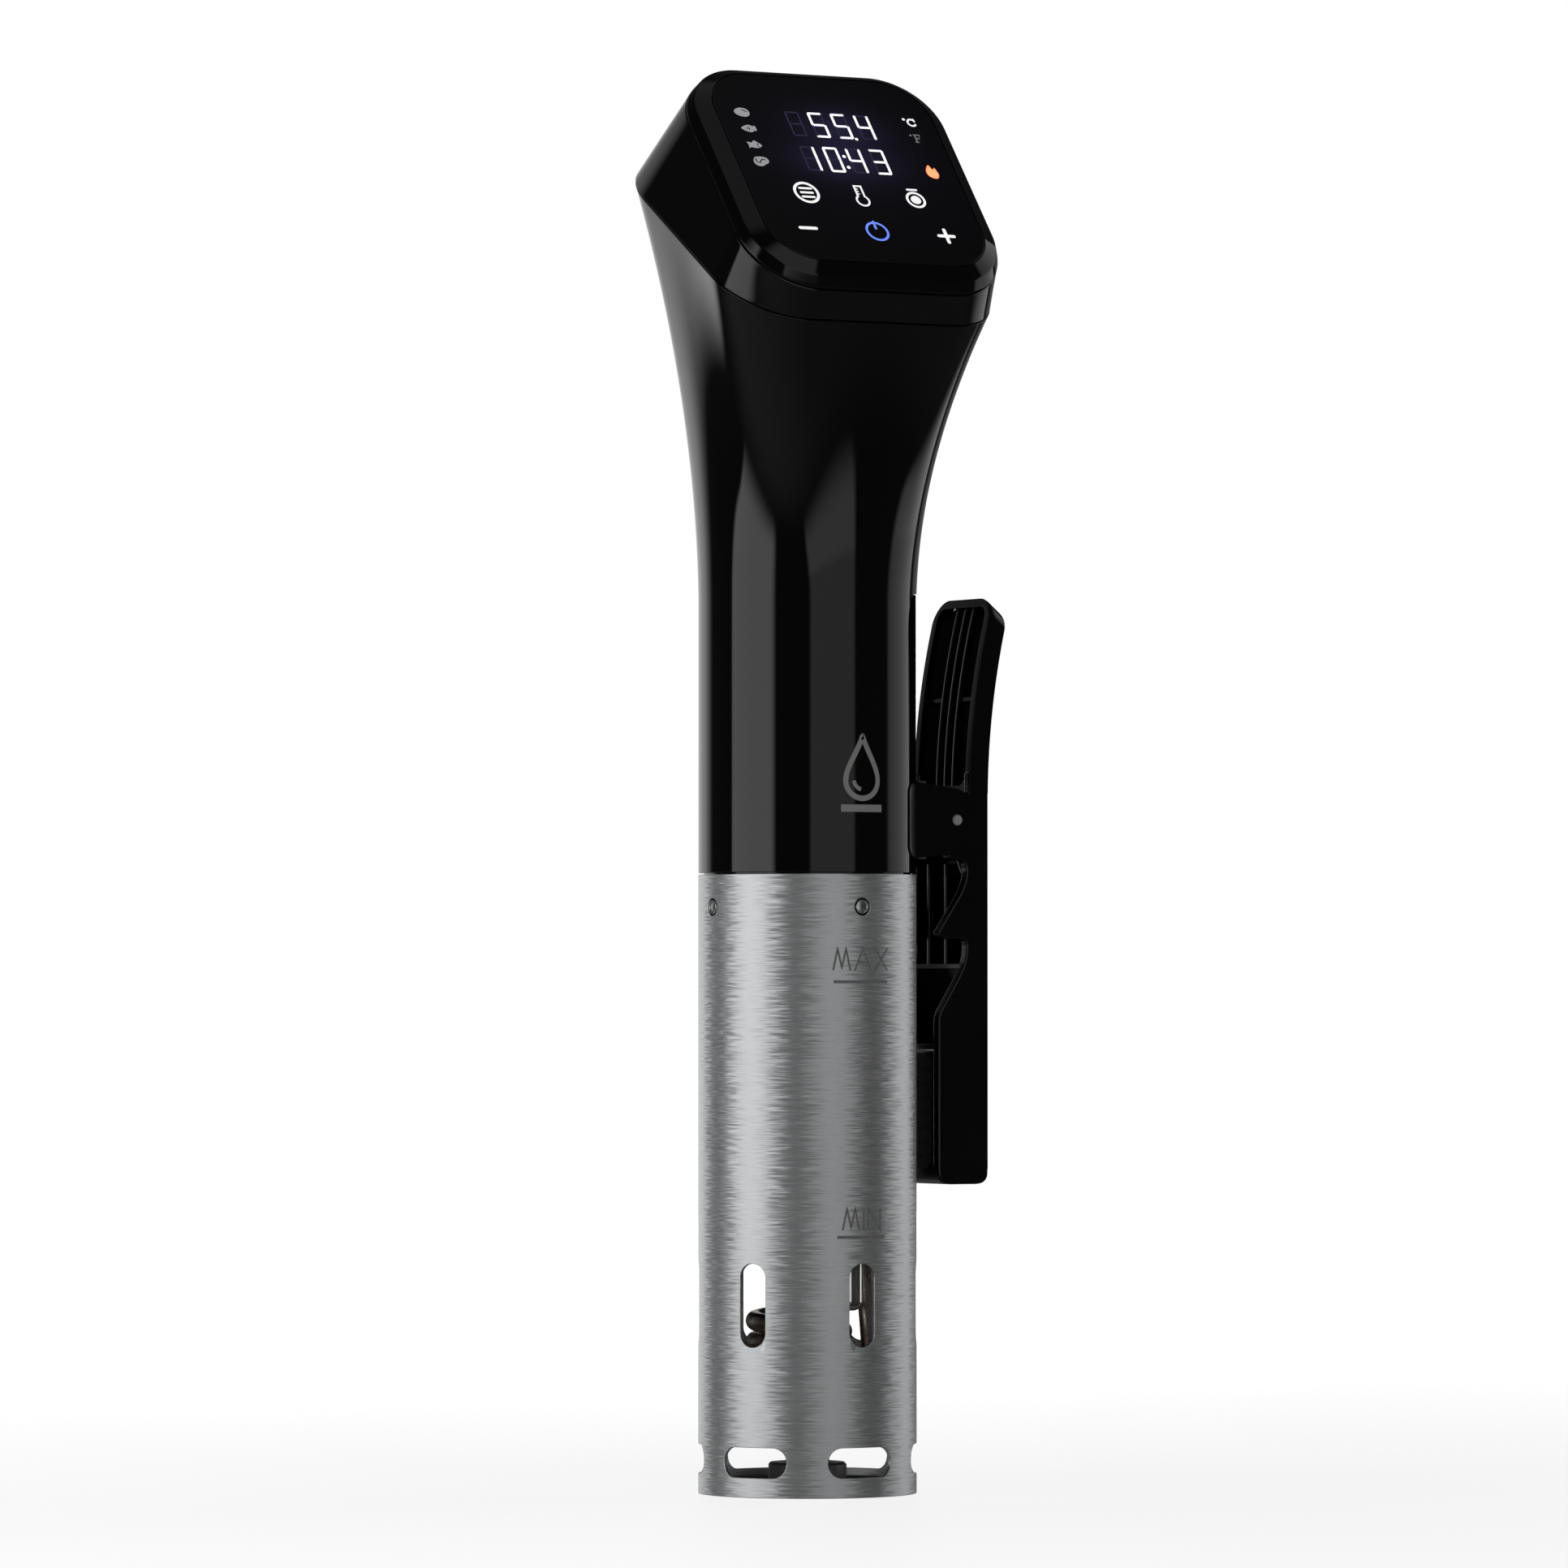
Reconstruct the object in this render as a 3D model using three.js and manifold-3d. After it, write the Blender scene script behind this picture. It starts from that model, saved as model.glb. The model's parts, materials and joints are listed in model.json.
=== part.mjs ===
// Sous vide circulator: steel skirt, black body and head, side clamp and the works inside.
// Millimetres, +Z up. The origin is on the tube axis at the bottom rim, and the display
// side faces -Y. The clamp is on the +X side.
import * as THREE from 'three';
import { mergeVertices } from 'three/addons/utils/BufferGeometryUtils.js';
import Module from 'manifold-3d';

const wasm = await Module();
wasm.setup();

// ---------------------------------------------------------------- driving dimensions
const GAP = 0.3;                     // clearance between neighbouring pieces
const ROUND = 36;                    // facets round the main tube

const TUBE_R = 30;                   // outer radius of skirt and grip
const SKIRT = { top: 169.6, wall: 1.0, inner: 29.0 };
const TALL_SLOT = { z: 52.2, width: 7.8, height: 22.7 };
const WIDE_SLOT = { z: 9.5, width: 20.0, height: 8.2 };
const SLOT_COUNT = 6;
const SCREW_Z = 160.6;               // skirt screws, one per quarter
const SCREW_HOLE_R = 2.4;

const CAP = { bossR: 10.8, bossTop: 8.5, floor: 2.6, rimIn: 25.6, rimR: 28.5, rimTop: 3.4,
  spokeWidth: 3.0, spokeHeight: 2.2, spokes: 6 };

const BODY = { bottom: 170, wall: 3.0, spigotR: 28.5, spigotWall: 2.4, spigotZ: 150, flareZ: 243 };
const SEAM = { hx: 43.0, yMin: -41.6, yMax: 36.1, r: 20.5, z: 318.74, slope: 0.63, inset: 0.35 };
const FLARE_POWER = 1.85;           // how late the flare opens out
const PANEL = { tilt: 51, y: -22.6, z: 362.1 };
const GLASS = { hx: 34.4, hv: 34.9, r: 14.0, thick: 1.0 };
const BEVEL = { hx: 39.2, hv: 38.5, r: 18.3, depth: 2.2 };
const BEZEL_BASE = { hx: 40.8, hv: 40.0, r: 20.3, depth: 5.3, shift: -0.9 };
const HEAD_WALL = 2.4;

const CLAMP = { halfAngle: 50.5, padTop: 246.4, pinX: 37.1, pinZ: 184.7, pinR: 1.5 };
const EAR = { inner: 15.7, outer: 18.2, xEnd: 41.6, top: 195.4, bottom: 174.0 };
const LEVER = { half: 15.1, wall: 3.0, x: 48.9, bottom: 84.4, top: 246.5, bendZ: 190, bend: 0.00242,
  plate: 2.4, arm: 6.0, rim: 2.3 };
const SPRING = { coilR: 2.75, half: 6.6, turns: 4, wireR: 0.5 };
const JAW_PAD_Z = 104.6;

const GLAND = { z: 336, y: 24, length: 13.5, r: 6.0, bore: 3.6 };

const MOTOR = { r: 18.0, bottom: 186, top: 226, shell: 1.5, neckR: 2.8 };
const PLATE = { r: 28.4, bottom: 143, top: 147.2, plugR: 25.7, plugTop: 152 };
const SHAFT_R = 2.0;
const BORE_R = SHAFT_R + GAP;
const BUSH_R = 5.1;

const COIL = { x: -2.0, y: 1.15, r: 12.0, tubeR: 2.7, topZ: 48.8, pitch: 5.7, turns: 2.75 };
const ROD_TOP = 156;                 // top ends of the probe and level rods, above the plate

// Heater legs, temperature probe and level rods, in plan.
const LEG_A = [10.0, 3.0];
const LEG_B = [12.2, -5.9];
const PROBE = [5.6, -12.5];
const ROD_LOW = [19.6, -2.1];
const ROD_HIGH = [-11.0, -12.5];

const rad = THREE.MathUtils.degToRad;

// ---------------------------------------------------------------- materials
const paint = (color, roughness, metalness) => new THREE.MeshStandardMaterial({
  color, roughness, metalness });
const STEEL = paint(0x9a9c9d, 0.32, 1.0);
const GLOSS = paint(0x0b0b0c, 0.12, 0.0);
const SATIN = paint(0x101011, 0.45, 0.0);
const RUBBER = paint(0x161616, 0.85, 0.0);
const SCREEN = paint(0x030306, 0.05, 0.0);
const WHITE_PLASTIC = paint(0xd8d6cf, 0.5, 0.0);
const BOARD = paint(0x0f4a2a, 0.55, 0.0);
const BRASS = paint(0xb58c43, 0.35, 1.0);
const COPPER_TIN = paint(0x6d625a, 0.4, 1.0);
const ALUMINIUM = paint(0xb4b6b8, 0.4, 1.0);

// ---------------------------------------------------------------- geometry helpers
// A closed body: shared vertices merged, slivers dropped, faces turned outwards.
function closed(geometry) {
  const bare = geometry.clone();
  bare.deleteAttribute('normal');
  bare.deleteAttribute('uv');
  const merged = mergeVertices(bare, 1e-4);
  const p = merged.getAttribute('position');
  const keep = [];
  let volume = 0;
  const [a, b, c] = [new THREE.Vector3(), new THREE.Vector3(), new THREE.Vector3()];
  for (let i = 0; i < merged.index.count; i += 3) {
    const t = [merged.index.getX(i), merged.index.getX(i + 1), merged.index.getX(i + 2)];
    if (t[0] === t[1] || t[1] === t[2] || t[0] === t[2]) continue;
    a.fromBufferAttribute(p, t[0]);
    b.fromBufferAttribute(p, t[1]);
    c.fromBufferAttribute(p, t[2]);
    volume += a.dot(b.cross(c));
    keep.push(...t);
  }
  if (volume < 0) keep.reverse();
  merged.setIndex(keep);
  return merged;
}

function solid(geometry) {
  const g = closed(geometry);
  return new wasm.Manifold(new wasm.Mesh({
    numProp: 3,
    vertProperties: new Float32Array(g.getAttribute('position').array),
    triVerts: new Uint32Array(g.index.array),
  }));
}

function faceted(manifold) {
  const m = manifold.getMesh();
  const g = new THREE.BufferGeometry();
  g.setAttribute('position', new THREE.BufferAttribute(new Float32Array(m.vertProperties), 3));
  g.setIndex(new THREE.BufferAttribute(new Uint32Array(m.triVerts), 1));
  return g;
}

const join = (first, ...others) =>
  faceted(others.reduce((sum, g) => sum.add(solid(g)), solid(first)));
const cut = (first, ...tools) =>
  faceted(tools.reduce((left, g) => left.subtract(solid(g)), solid(first)));
const common = (first, second) => faceted(solid(first).intersect(solid(second)));

const shapeOf = (points) => new THREE.Shape(points.map(([x, y]) => new THREE.Vector2(x, y)));
const extrude = (shape, depth, curveSegments = 6) =>
  new THREE.ExtrudeGeometry(shape, { depth, bevelEnabled: false, curveSegments });

// Outlines drawn in (x, y), (x, z) or (y, z) and given a thickness along the third axis.
const slabZ = (shape, z0, z1, n) => extrude(shape, z1 - z0, n).translate(0, 0, z0);
const slabY = (shape, y0, y1, n) =>
  extrude(shape, y1 - y0, n).rotateX(Math.PI / 2).translate(0, y1, 0);
const slabX = (shape, x0, x1, n) =>
  extrude(shape, x1 - x0, n).rotateX(Math.PI / 2).rotateZ(Math.PI / 2).translate(x0, 0, 0);

const block = (x0, x1, y0, y1, z0, z1) => new THREE.BoxGeometry(x1 - x0, y1 - y0, z1 - z0)
  .translate((x0 + x1) / 2, (y0 + y1) / 2, (z0 + z1) / 2);

const rod = (x, y, r, z0, z1, n = 16) => new THREE.CylinderGeometry(r, r, z1 - z0, n)
  .rotateX(Math.PI / 2).translate(x, y, (z0 + z1) / 2);
const rodY = (x, z, r, y0, y1, n = 16) => new THREE.CylinderGeometry(r, r, y1 - y0, n)
  .translate(x, (y0 + y1) / 2, z);
const rodX = (y, z, r, x0, x1, n = 16) => new THREE.CylinderGeometry(r, r, x1 - x0, n)
  .rotateZ(Math.PI / 2).translate((x0 + x1) / 2, y, z);

// A piece turned about Z from a profile of [radius, z]; one that misses the axis closes on itself.
function turned(profile, segments = 24) {
  const points = profile.map(([r, z]) => new THREE.Vector2(r, z));
  if (profile[0][0] > 0) points.push(points[0].clone());
  return new THREE.LatheGeometry(points, segments).rotateX(Math.PI / 2);
}

// A round bar of a few facets along a smooth curve.
function tubeAlong(points, radius, facets, steps) {
  const section = shapeOf(Array.from({ length: facets }, (_, k) => {
    const a = (2 * Math.PI * k) / facets;
    return [radius * Math.cos(a), radius * Math.sin(a)];
  }));
  const extrudePath = new THREE.CatmullRomCurve3(points, false, 'centripetal');
  return new THREE.ExtrudeGeometry(section, { steps, bevelEnabled: false, extrudePath });
}

// A skin through rings of equal length: a wall that closes on itself, or a capped solid.
function loft(rings, isWall) {
  const n = rings[0].length;
  const vertices = rings.flat().flatMap((v) => [v.x, v.y, v.z]);
  const index = [];
  const bands = isWall ? rings.length : rings.length - 1;
  for (let i = 0; i < bands; i += 1) {
    const low = i * n;
    const high = ((i + 1) % rings.length) * n;
    for (let k = 0; k < n; k += 1) {
      const next = (k + 1) % n;
      index.push(low + k, low + next, high + next, low + k, high + next, high + k);
    }
  }
  if (!isWall) {
    const last = (rings.length - 1) * n;
    for (let k = 1; k < n - 1; k += 1) {
      index.push(0, k + 1, k, last, last + k, last + k + 1);
    }
  }
  const g = new THREE.BufferGeometry();
  g.setAttribute('position', new THREE.Float32BufferAttribute(vertices, 3));
  g.setIndex(index);
  return g;
}

// Points round a rounded rectangle, counter-clockwise from the +x side.
function roundedOutline(hx, hy, r, steps = 8) {
  const points = [];
  const corners = [[1, 1, 0], [-1, 1, 90], [-1, -1, 180], [1, -1, 270]];
  for (const [sx, sy, start] of corners) {
    for (let k = 0; k <= steps; k += 1) {
      const a = rad(start + (90 * k) / steps);
      points.push([sx * (hx - r) + r * Math.cos(a), sy * (hy - r) + r * Math.sin(a)]);
    }
  }
  return points;
}
const roundedShape = (hx, hy, r, steps) => shapeOf(roundedOutline(hx, hy, r, steps));

function circle(radius, z) {
  return Array.from({ length: ROUND }, (_, k) => {
    const a = (2 * Math.PI * k) / ROUND;
    return new THREE.Vector3(radius * Math.cos(a), radius * Math.sin(a), z);
  });
}

// A sector of a tube wall about Z, centred on +X.
function sector(r0, r1, halfAngle, z0, z1, steps = 12) {
  const arc = (r, from, to) => Array.from({ length: steps + 1 }, (_, k) => {
    const a = rad(from + ((to - from) * k) / steps);
    return [r * Math.cos(a), r * Math.sin(a)];
  });
  return slabZ(shapeOf([...arc(r1, -halfAngle, halfAngle), ...arc(r0, halfAngle, -halfAngle)]),
    z0, z1);
}

// ---------------------------------------------------------------- the assembly
const circulator = new THREE.Group();
const housing = new THREE.Group();
const rotating = new THREE.Group();
const lever = new THREE.Group();
circulator.add(housing, rotating, lever);

function piece(group, name, geometry, material) {
  const mesh = new THREE.Mesh(closed(geometry), material);
  mesh.name = name;
  group.add(mesh);
}

// ---------------------------------------------------------------- steel skirt
function skirtTube() {
  let skirt = solid(loft([circle(TUBE_R, 0), circle(TUBE_R, SKIRT.top),
    circle(SKIRT.inner, SKIRT.top), circle(SKIRT.inner, 0)], true));
  const slot = ({ width, height }) => {
    const corner = Math.min(width, height) / 2 - 0.01;
    return slabX(roundedShape(width / 2, height / 2, corner, 4), SKIRT.inner - 8, TUBE_R + 4);
  };
  for (let k = 0; k < SLOT_COUNT; k += 1) {
    const turn = rad(-90 + (360 * k) / SLOT_COUNT);
    skirt = skirt.subtract(solid(slot(TALL_SLOT).translate(0, 0, TALL_SLOT.z).rotateZ(turn)));
    skirt = skirt.subtract(solid(slot(WIDE_SLOT).translate(0, 0, WIDE_SLOT.z).rotateZ(turn)));
  }
  for (let k = 0; k < 4; k += 1) {
    const hole = rodX(0, SCREW_Z, SCREW_HOLE_R, SKIRT.inner - 2, TUBE_R + 2, 12);
    skirt = skirt.subtract(solid(hole.rotateZ(rad(90 * k))));
  }
  return faceted(skirt);
}

// A countersunk screw along +X.
function skirtScrew() {
  const profile = [[0, 24.2], [1.25, 24.8], [1.25, 28.6], [2.05, 29.3], [2.05, 29.9], [0, 30.0]];
  return turned(profile, 12).rotateY(Math.PI / 2).translate(0, 0, SCREW_Z);
}

// The foot of the skirt: a boss for the lower bush, a rim, and spokes with water inlets between.
function baseCap() {
  const { bossR, bossTop, floor, rimIn, rimR, rimTop, spokeWidth, spokeHeight } = CAP;
  const socketR = BUSH_R + GAP;
  const chamfer = 0.6;
  const boss = turned([[0, 0], [bossR, 0], [bossR, bossTop - chamfer], [bossR - chamfer, bossTop],
    [socketR, bossTop], [socketR, floor], [0, floor]], 20);
  const rim = turned([[rimIn, 0], [rimR, 0], [rimR, rimTop], [rimR - 1.5, rimTop],
    [rimIn, spokeHeight]], ROUND);
  const spokes = Array.from({ length: CAP.spokes }, (_, k) => {
    const spoke = block(bossR - 0.6, rimIn + 0.8, -spokeWidth / 2, spokeWidth / 2, 0, spokeHeight);
    return spoke.rotateZ(rad((360 * k) / CAP.spokes));
  });
  return join(boss, rim, ...spokes);
}

const bush = ([x, y], inner, outer, z0, z1, n = 16) =>
  turned([[inner, z0], [outer, z0], [outer, z1], [inner, z1]], n).translate(x, y, 0);

piece(housing, 'skirt_tube', skirtTube(), STEEL);
['right', 'back', 'left', 'front'].forEach((side, k) => {
  piece(housing, `skirt_screw_${side}`, skirtScrew().rotateZ(rad(90 * k)), STEEL);
});
piece(housing, 'base_cap', baseCap(), SATIN);
piece(housing, 'lower_bushing', bush([0, 0], BORE_R, BUSH_R, 3.2, 8.9), BRASS);

// ---------------------------------------------------------------- heater and probes
function heaterTube() {
  const points = [];
  const add = (x, y, z) => points.push(new THREE.Vector3(x, y, z));
  [150, 110, 75, 61].forEach((z) => add(...LEG_A, z));
  add(9.9, 3.7, 54.2);
  add(9.0, 6.5, 50.3);
  const first = 50;
  const last = first + 360 * COIL.turns - 30;
  for (let a = first; a <= last; a += 24) {
    add(COIL.x + COIL.r * Math.cos(rad(a)), COIL.y + COIL.r * Math.sin(rad(a)),
      COIL.topZ - (COIL.pitch * (a - first)) / 360);
  }
  add(6.4, -11.6, 32.6);
  add(11.4, -11.4, 33.8);
  add(14.2, -9.9, 38.0);
  add(14.7, -8.5, 46.0);
  add(13.9, -6.9, 64.0);
  add(12.9, -6.2, 84.0);
  add(...LEG_B, 110);
  add(...LEG_B, 150);
  return tubeAlong(points, COIL.tubeR, 8, 66);
}

// A rod hanging from the plate, with a rounded lower end.
function hangingRod([x, y], r, tip, bottom, segments) {
  const profile = [[0, bottom], [r - tip, bottom + 0.25 * tip], [r - 0.25 * tip, bottom + tip],
    [r, bottom + 2 * tip], [r, ROD_TOP], [0, ROD_TOP]];
  return turned(profile, segments).translate(x, y, 0);
}

piece(housing, 'heater_coil', heaterTube(), COPPER_TIN);
piece(housing, 'heater_nut_a', bush(LEG_A, 3.1, 3.95, 139.4, 142.7, 6), BRASS);
piece(housing, 'heater_nut_b', bush(LEG_B, 3.1, 3.95, 139.4, 142.7, 6), BRASS);
piece(housing, 'temperature_probe', hangingRod(PROBE, 4.0, 1.7, 50.2, 16), STEEL);
piece(housing, 'level_rod_low', hangingRod(ROD_LOW, 1.6, 0.6, 36, 12), STEEL);
piece(housing, 'level_rod_high', hangingRod(ROD_HIGH, 1.6, 0.6, 118, 12), STEEL);

// ---------------------------------------------------------------- seal plate and drive
const CHASSIS_SCREW = { r: 20.4, angles: [90, 200, 305] };
const around = (r, angle) => [r * Math.cos(rad(angle)), r * Math.sin(rad(angle))];

function sealPlate() {
  const disc = turned([[0, PLATE.bottom], [PLATE.r, PLATE.bottom], [PLATE.r, PLATE.top],
    [PLATE.plugR, PLATE.top], [PLATE.plugR, PLATE.plugTop], [0, PLATE.plugTop]], ROUND);
  const screws = CHASSIS_SCREW.angles.map((a) => [around(CHASSIS_SCREW.r, a), 1.6]);
  const holes = [[[0, 0], BUSH_R + GAP], [LEG_A, 3.1], [LEG_B, 3.1], [PROBE, 4.3], [ROD_LOW, 1.9],
    [ROD_HIGH, 1.9], ...screws];
  return cut(disc, ...holes.map(([[x, y], r]) => rod(x, y, r, 140, 155, 12)));
}

function innerChassis() {
  const base = rod(0, 0, 25.6, 156.6, 158.6, 24);
  const feet = CHASSIS_SCREW.angles.map((a) => around(CHASSIS_SCREW.r, a));
  const pillars = feet.map((foot) => rod(...foot, 3.2, 152.4, 182.6, 12));
  const threads = feet.map((foot) => rod(...foot, 1.3, 150, 176, 8));
  const passages = [rod(0, 0, 7, 150, 160), rod(15, -4, 8.6, 150, 160), rod(-9.5, 10.5, 5, 150, 160)];
  return cut(join(base, ...pillars), ...passages, ...threads);
}

const plateScrew = ([x, y]) => turned([[0, 140.8], [2.6, 140.8], [2.6, 142.7], [1.0, 142.7],
  [1.0, 162], [0, 162]], 10).translate(x, y, 0);

piece(housing, 'seal_plate', sealPlate(), SATIN);
piece(housing, 'plate_gasket', bush([0, 0], 26.1, 28.2, 147.6, 149.7, 24), RUBBER);
piece(housing, 'shaft_bushing', bush([0, 0], BORE_R, BUSH_R, 143.3, 148.2), BRASS);
piece(housing, 'shaft_seal', bush([0, 0], BORE_R, BUSH_R, 148.6, 153.4), RUBBER);
piece(housing, 'inner_chassis', innerChassis(), WHITE_PLASTIC);
CHASSIS_SCREW.angles.forEach((a, k) => {
  piece(housing, `plate_screw_${k + 1}`, plateScrew(around(CHASSIS_SCREW.r, a)), STEEL);
});

function motorCan() {
  const { r, bottom, top, shell, neckR } = MOTOR;
  return turned([[neckR, bottom], [r, bottom], [r, top], [neckR, top], [neckR, top - shell],
    [r - shell, top - shell], [r - shell, bottom + shell], [neckR, bottom + shell]], 18);
}

function motorRotor() {
  const [low, high] = [MOTOR.bottom + 4, MOTOR.top - 6];
  return turned([[0, 165.2], [SHAFT_R, 165.2], [SHAFT_R, low], [11, low], [11, high],
    [SHAFT_R, high], [SHAFT_R, 244], [0, 244]], 16);
}

piece(housing, 'motor_mount', bush([0, 0], 8, 26.2, 183, 185.6, 24), RUBBER);
piece(housing, 'motor_can', motorCan(), STEEL);
piece(housing, 'motor_magnets', bush([0, 0], 11.6, 16.0, 191, 219, 18), SATIN);

piece(rotating, 'drive_shaft', rod(0, 0, SHAFT_R, 4.2, 164.8), STEEL);
piece(rotating, 'motor_rotor', motorRotor(), COPPER_TIN);
piece(rotating, 'shaft_coupler', bush([0, 0], BORE_R, 4.6, 158.2, 174, 12), BRASS);

// A bladed wheel: a hub ring with pitched blades.
function bladedWheel(hubR, tipR, z0, z1, count, pitch) {
  const mid = (z0 + z1) / 2;
  const span = tipR - hubR + 1;
  const blades = Array.from({ length: count }, (_, k) => {
    const blade = new THREE.BoxGeometry(span, 1.2, z1 - z0 - 1).rotateX(rad(pitch));
    return blade.translate(hubR - 1 + span / 2, 0, mid).rotateZ(rad((360 * k) / count));
  });
  return join(bush([0, 0], BORE_R, hubR, z0, z1), ...blades);
}

piece(rotating, 'impeller', bladedWheel(5, 16.5, 14, 25.5, 6, 25), SATIN);
piece(rotating, 'cooling_fan', bladedWheel(6, 20, 232, 240, 7, 40), SATIN);

// ---------------------------------------------------------------- body shell
// Distance from the tube axis to the head seam's outline, in plan, along one direction.
function seamRadius(angle, inset) {
  const cy = (SEAM.yMin + SEAM.yMax) / 2;
  const hx = SEAM.hx - SEAM.r;
  const hy = (SEAM.yMax - SEAM.yMin) / 2 - SEAM.r;
  const outside = (t) => {
    const qx = Math.max(Math.abs(t * Math.cos(angle)) - hx, 0);
    const qy = Math.max(Math.abs(t * Math.sin(angle) - cy) - hy, 0);
    return Math.hypot(qx, qy) - (SEAM.r - inset);
  };
  let low = 10;
  let high = 80;
  for (let i = 0; i < 40; i += 1) {
    const mid = (low + high) / 2;
    if (outside(mid) > 0) {
      high = mid;
    } else {
      low = mid;
    }
  }
  return low;
}
const seamZ = (y) => SEAM.z + SEAM.slope * (y - SEAM.yMin);

// One ring of the flare: u runs from the grip (0) to the head seam (1).
function flareRing(u, baseR, inset, lift) {
  return Array.from({ length: ROUND }, (_, k) => {
    const a = (2 * Math.PI * k) / ROUND;
    const top = seamRadius(a, inset);
    const r = baseR + (top - baseR) * u ** FLARE_POWER;
    const z = BODY.flareZ + u * (seamZ(top * Math.sin(a)) + lift - BODY.flareZ);
    return new THREE.Vector3(r * Math.cos(a), r * Math.sin(a), z);
  });
}

function bodyShell() {
  const rows = [0, 0.32, 0.56, 0.78, 1];
  const spigotIn = BODY.spigotR - BODY.spigotWall;
  const innerR = TUBE_R - BODY.wall;
  const outer = rows.map((u) => flareRing(u, TUBE_R, SEAM.inset, -GAP / 2));
  const inner = rows.map((u) => flareRing(u, innerR, SEAM.inset + BODY.wall, -GAP / 2)).reverse();
  let shell = solid(loft([circle(BODY.spigotR, BODY.spigotZ), circle(BODY.spigotR, BODY.bottom),
    circle(TUBE_R, BODY.bottom), ...outer, ...inner, circle(innerR, BODY.bottom + 4),
    circle(spigotIn, BODY.bottom + 3), circle(spigotIn, BODY.spigotZ)], true));
  for (let k = 0; k < 4; k += 1) {
    const hole = rodX(0, SCREW_Z, 1.6, 20, 32, 10).rotateZ(rad(90 * k));
    shell = shell.subtract(solid(hole));
  }
  const recess = sector(28.6, 33, CLAMP.halfAngle + 0.6, BODY.bottom - 0.3, CLAMP.padTop + 0.3);
  shell = shell.subtract(solid(recess));
  for (const z of BRACKET_SCREW_Z) {
    shell = shell.subtract(solid(rodX(0, z, 1.5, 22, 34, 10)));
  }
  shell = shell.subtract(solid(rodY(0, GLAND.z, GLAND.r + GAP, GLAND.y - 8, GLAND.y + 22, 20)));
  return faceted(shell);
}

// The mains inlet gland at the back of the neck, a turned bush along +Y.
function cordGland() {
  const { r, bore, length } = GLAND;
  const profile = [[bore, -1], [r, -1], [r, length - 1], [r - 1.2, length], [bore, length]];
  return turned(profile, 20).rotateX(-Math.PI / 2).translate(0, GLAND.y, GLAND.z);
}

// ---------------------------------------------------------------- clamp fixed to the body
const BRACKET_SCREW_Z = [177.6, 191.8];

function trackPad() {
  const pad = sector(28.9, 29.85, CLAMP.halfAngle, BODY.bottom, CLAMP.padTop);
  const holes = BRACKET_SCREW_Z.map((z) => rodX(0, z, 1.5, 22, 34, 10));
  const corner = (side, k) => {
    const a = rad(15 * k);
    return [side * (20.2 + 3 * Math.cos(a)), CLAMP.padTop - 10 + 10 * Math.sin(a)];
  };
  const steps = [0, 1, 2, 3, 4, 5, 6];
  const right = steps.map((k) => corner(1, k));
  const left = steps.map((k) => corner(-1, k)).reverse();
  const outline = shapeOf([[-23.2, 165], [23.2, 165], ...right, ...left]);
  return cut(common(pad, slabX(outline, 10, 34)), ...holes);
}

function clampBracket() {
  const saddle = sector(30.2, 32.6, CLAMP.halfAngle, EAR.bottom, EAR.top);
  const profile = shapeOf([[22, EAR.bottom], [37.5, EAR.bottom + 0.8], [40.2, EAR.bottom + 2.2],
    [EAR.xEnd, EAR.bottom + 5.2], [EAR.xEnd, EAR.top - 6.5], [40.4, EAR.top - 3.4],
    [38, EAR.top - 1.6], [22, EAR.top]]);
  const ears = [-1, 1].map((side) => {
    const [y0, y1] = side > 0 ? [EAR.inner, EAR.outer] : [-EAR.outer, -EAR.inner];
    return slabY(profile, y0, y1);
  });
  const bore = rod(0, 0, 30.2, EAR.bottom - 2, EAR.top + 2, ROUND);
  const pinHole = rodY(CLAMP.pinX, CLAMP.pinZ, CLAMP.pinR + GAP, -20, 20, 16);
  const screwHoles = BRACKET_SCREW_Z.map((z) => rodX(0, z, 1.5, 28, 34, 10));
  return cut(join(saddle, ...ears), bore, pinHole, ...screwHoles);
}

const bracketScrew = (z) => turned([[0, 24.4], [1.15, 25], [1.15, 32.9], [2.5, 32.9], [2.5, 33.9],
  [1.6, 34.4], [0, 34.4]], 12).rotateY(Math.PI / 2).translate(0, 0, z);

piece(housing, 'body_shell', bodyShell(), GLOSS);
piece(housing, 'cord_gland', cordGland(), RUBBER);
piece(housing, 'clamp_track_pad', trackPad(), SATIN);
piece(housing, 'clamp_bracket', clampBracket(), SATIN);
piece(housing, 'bracket_screw_lower', bracketScrew(BRACKET_SCREW_Z[0]), STEEL);
piece(housing, 'bracket_screw_upper', bracketScrew(BRACKET_SCREW_Z[1]), STEEL);
piece(housing, 'clamp_pin', rodY(CLAMP.pinX, CLAMP.pinZ, CLAMP.pinR, -18.7, 18.7, 12), STEEL);

// ---------------------------------------------------------------- head
// Panel coordinates: x across, v up the slope, depth below the glass surface.
const panelFrame = new THREE.Matrix4().makeBasis(
  new THREE.Vector3(1, 0, 0),
  new THREE.Vector3(0, Math.cos(rad(PANEL.tilt)), Math.sin(rad(PANEL.tilt))),
  new THREE.Vector3(0, -Math.sin(rad(PANEL.tilt)), Math.cos(rad(PANEL.tilt))),
).setPosition(0, PANEL.y, PANEL.z);
const onPanel = (geometry) => geometry.applyMatrix4(panelFrame);

function panelRing(hx, hv, r, depth, shift = 0) {
  return roundedOutline(hx, hv, r).map(([x, v]) =>
    new THREE.Vector3(x, v + shift, -depth).applyMatrix4(panelFrame));
}

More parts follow.
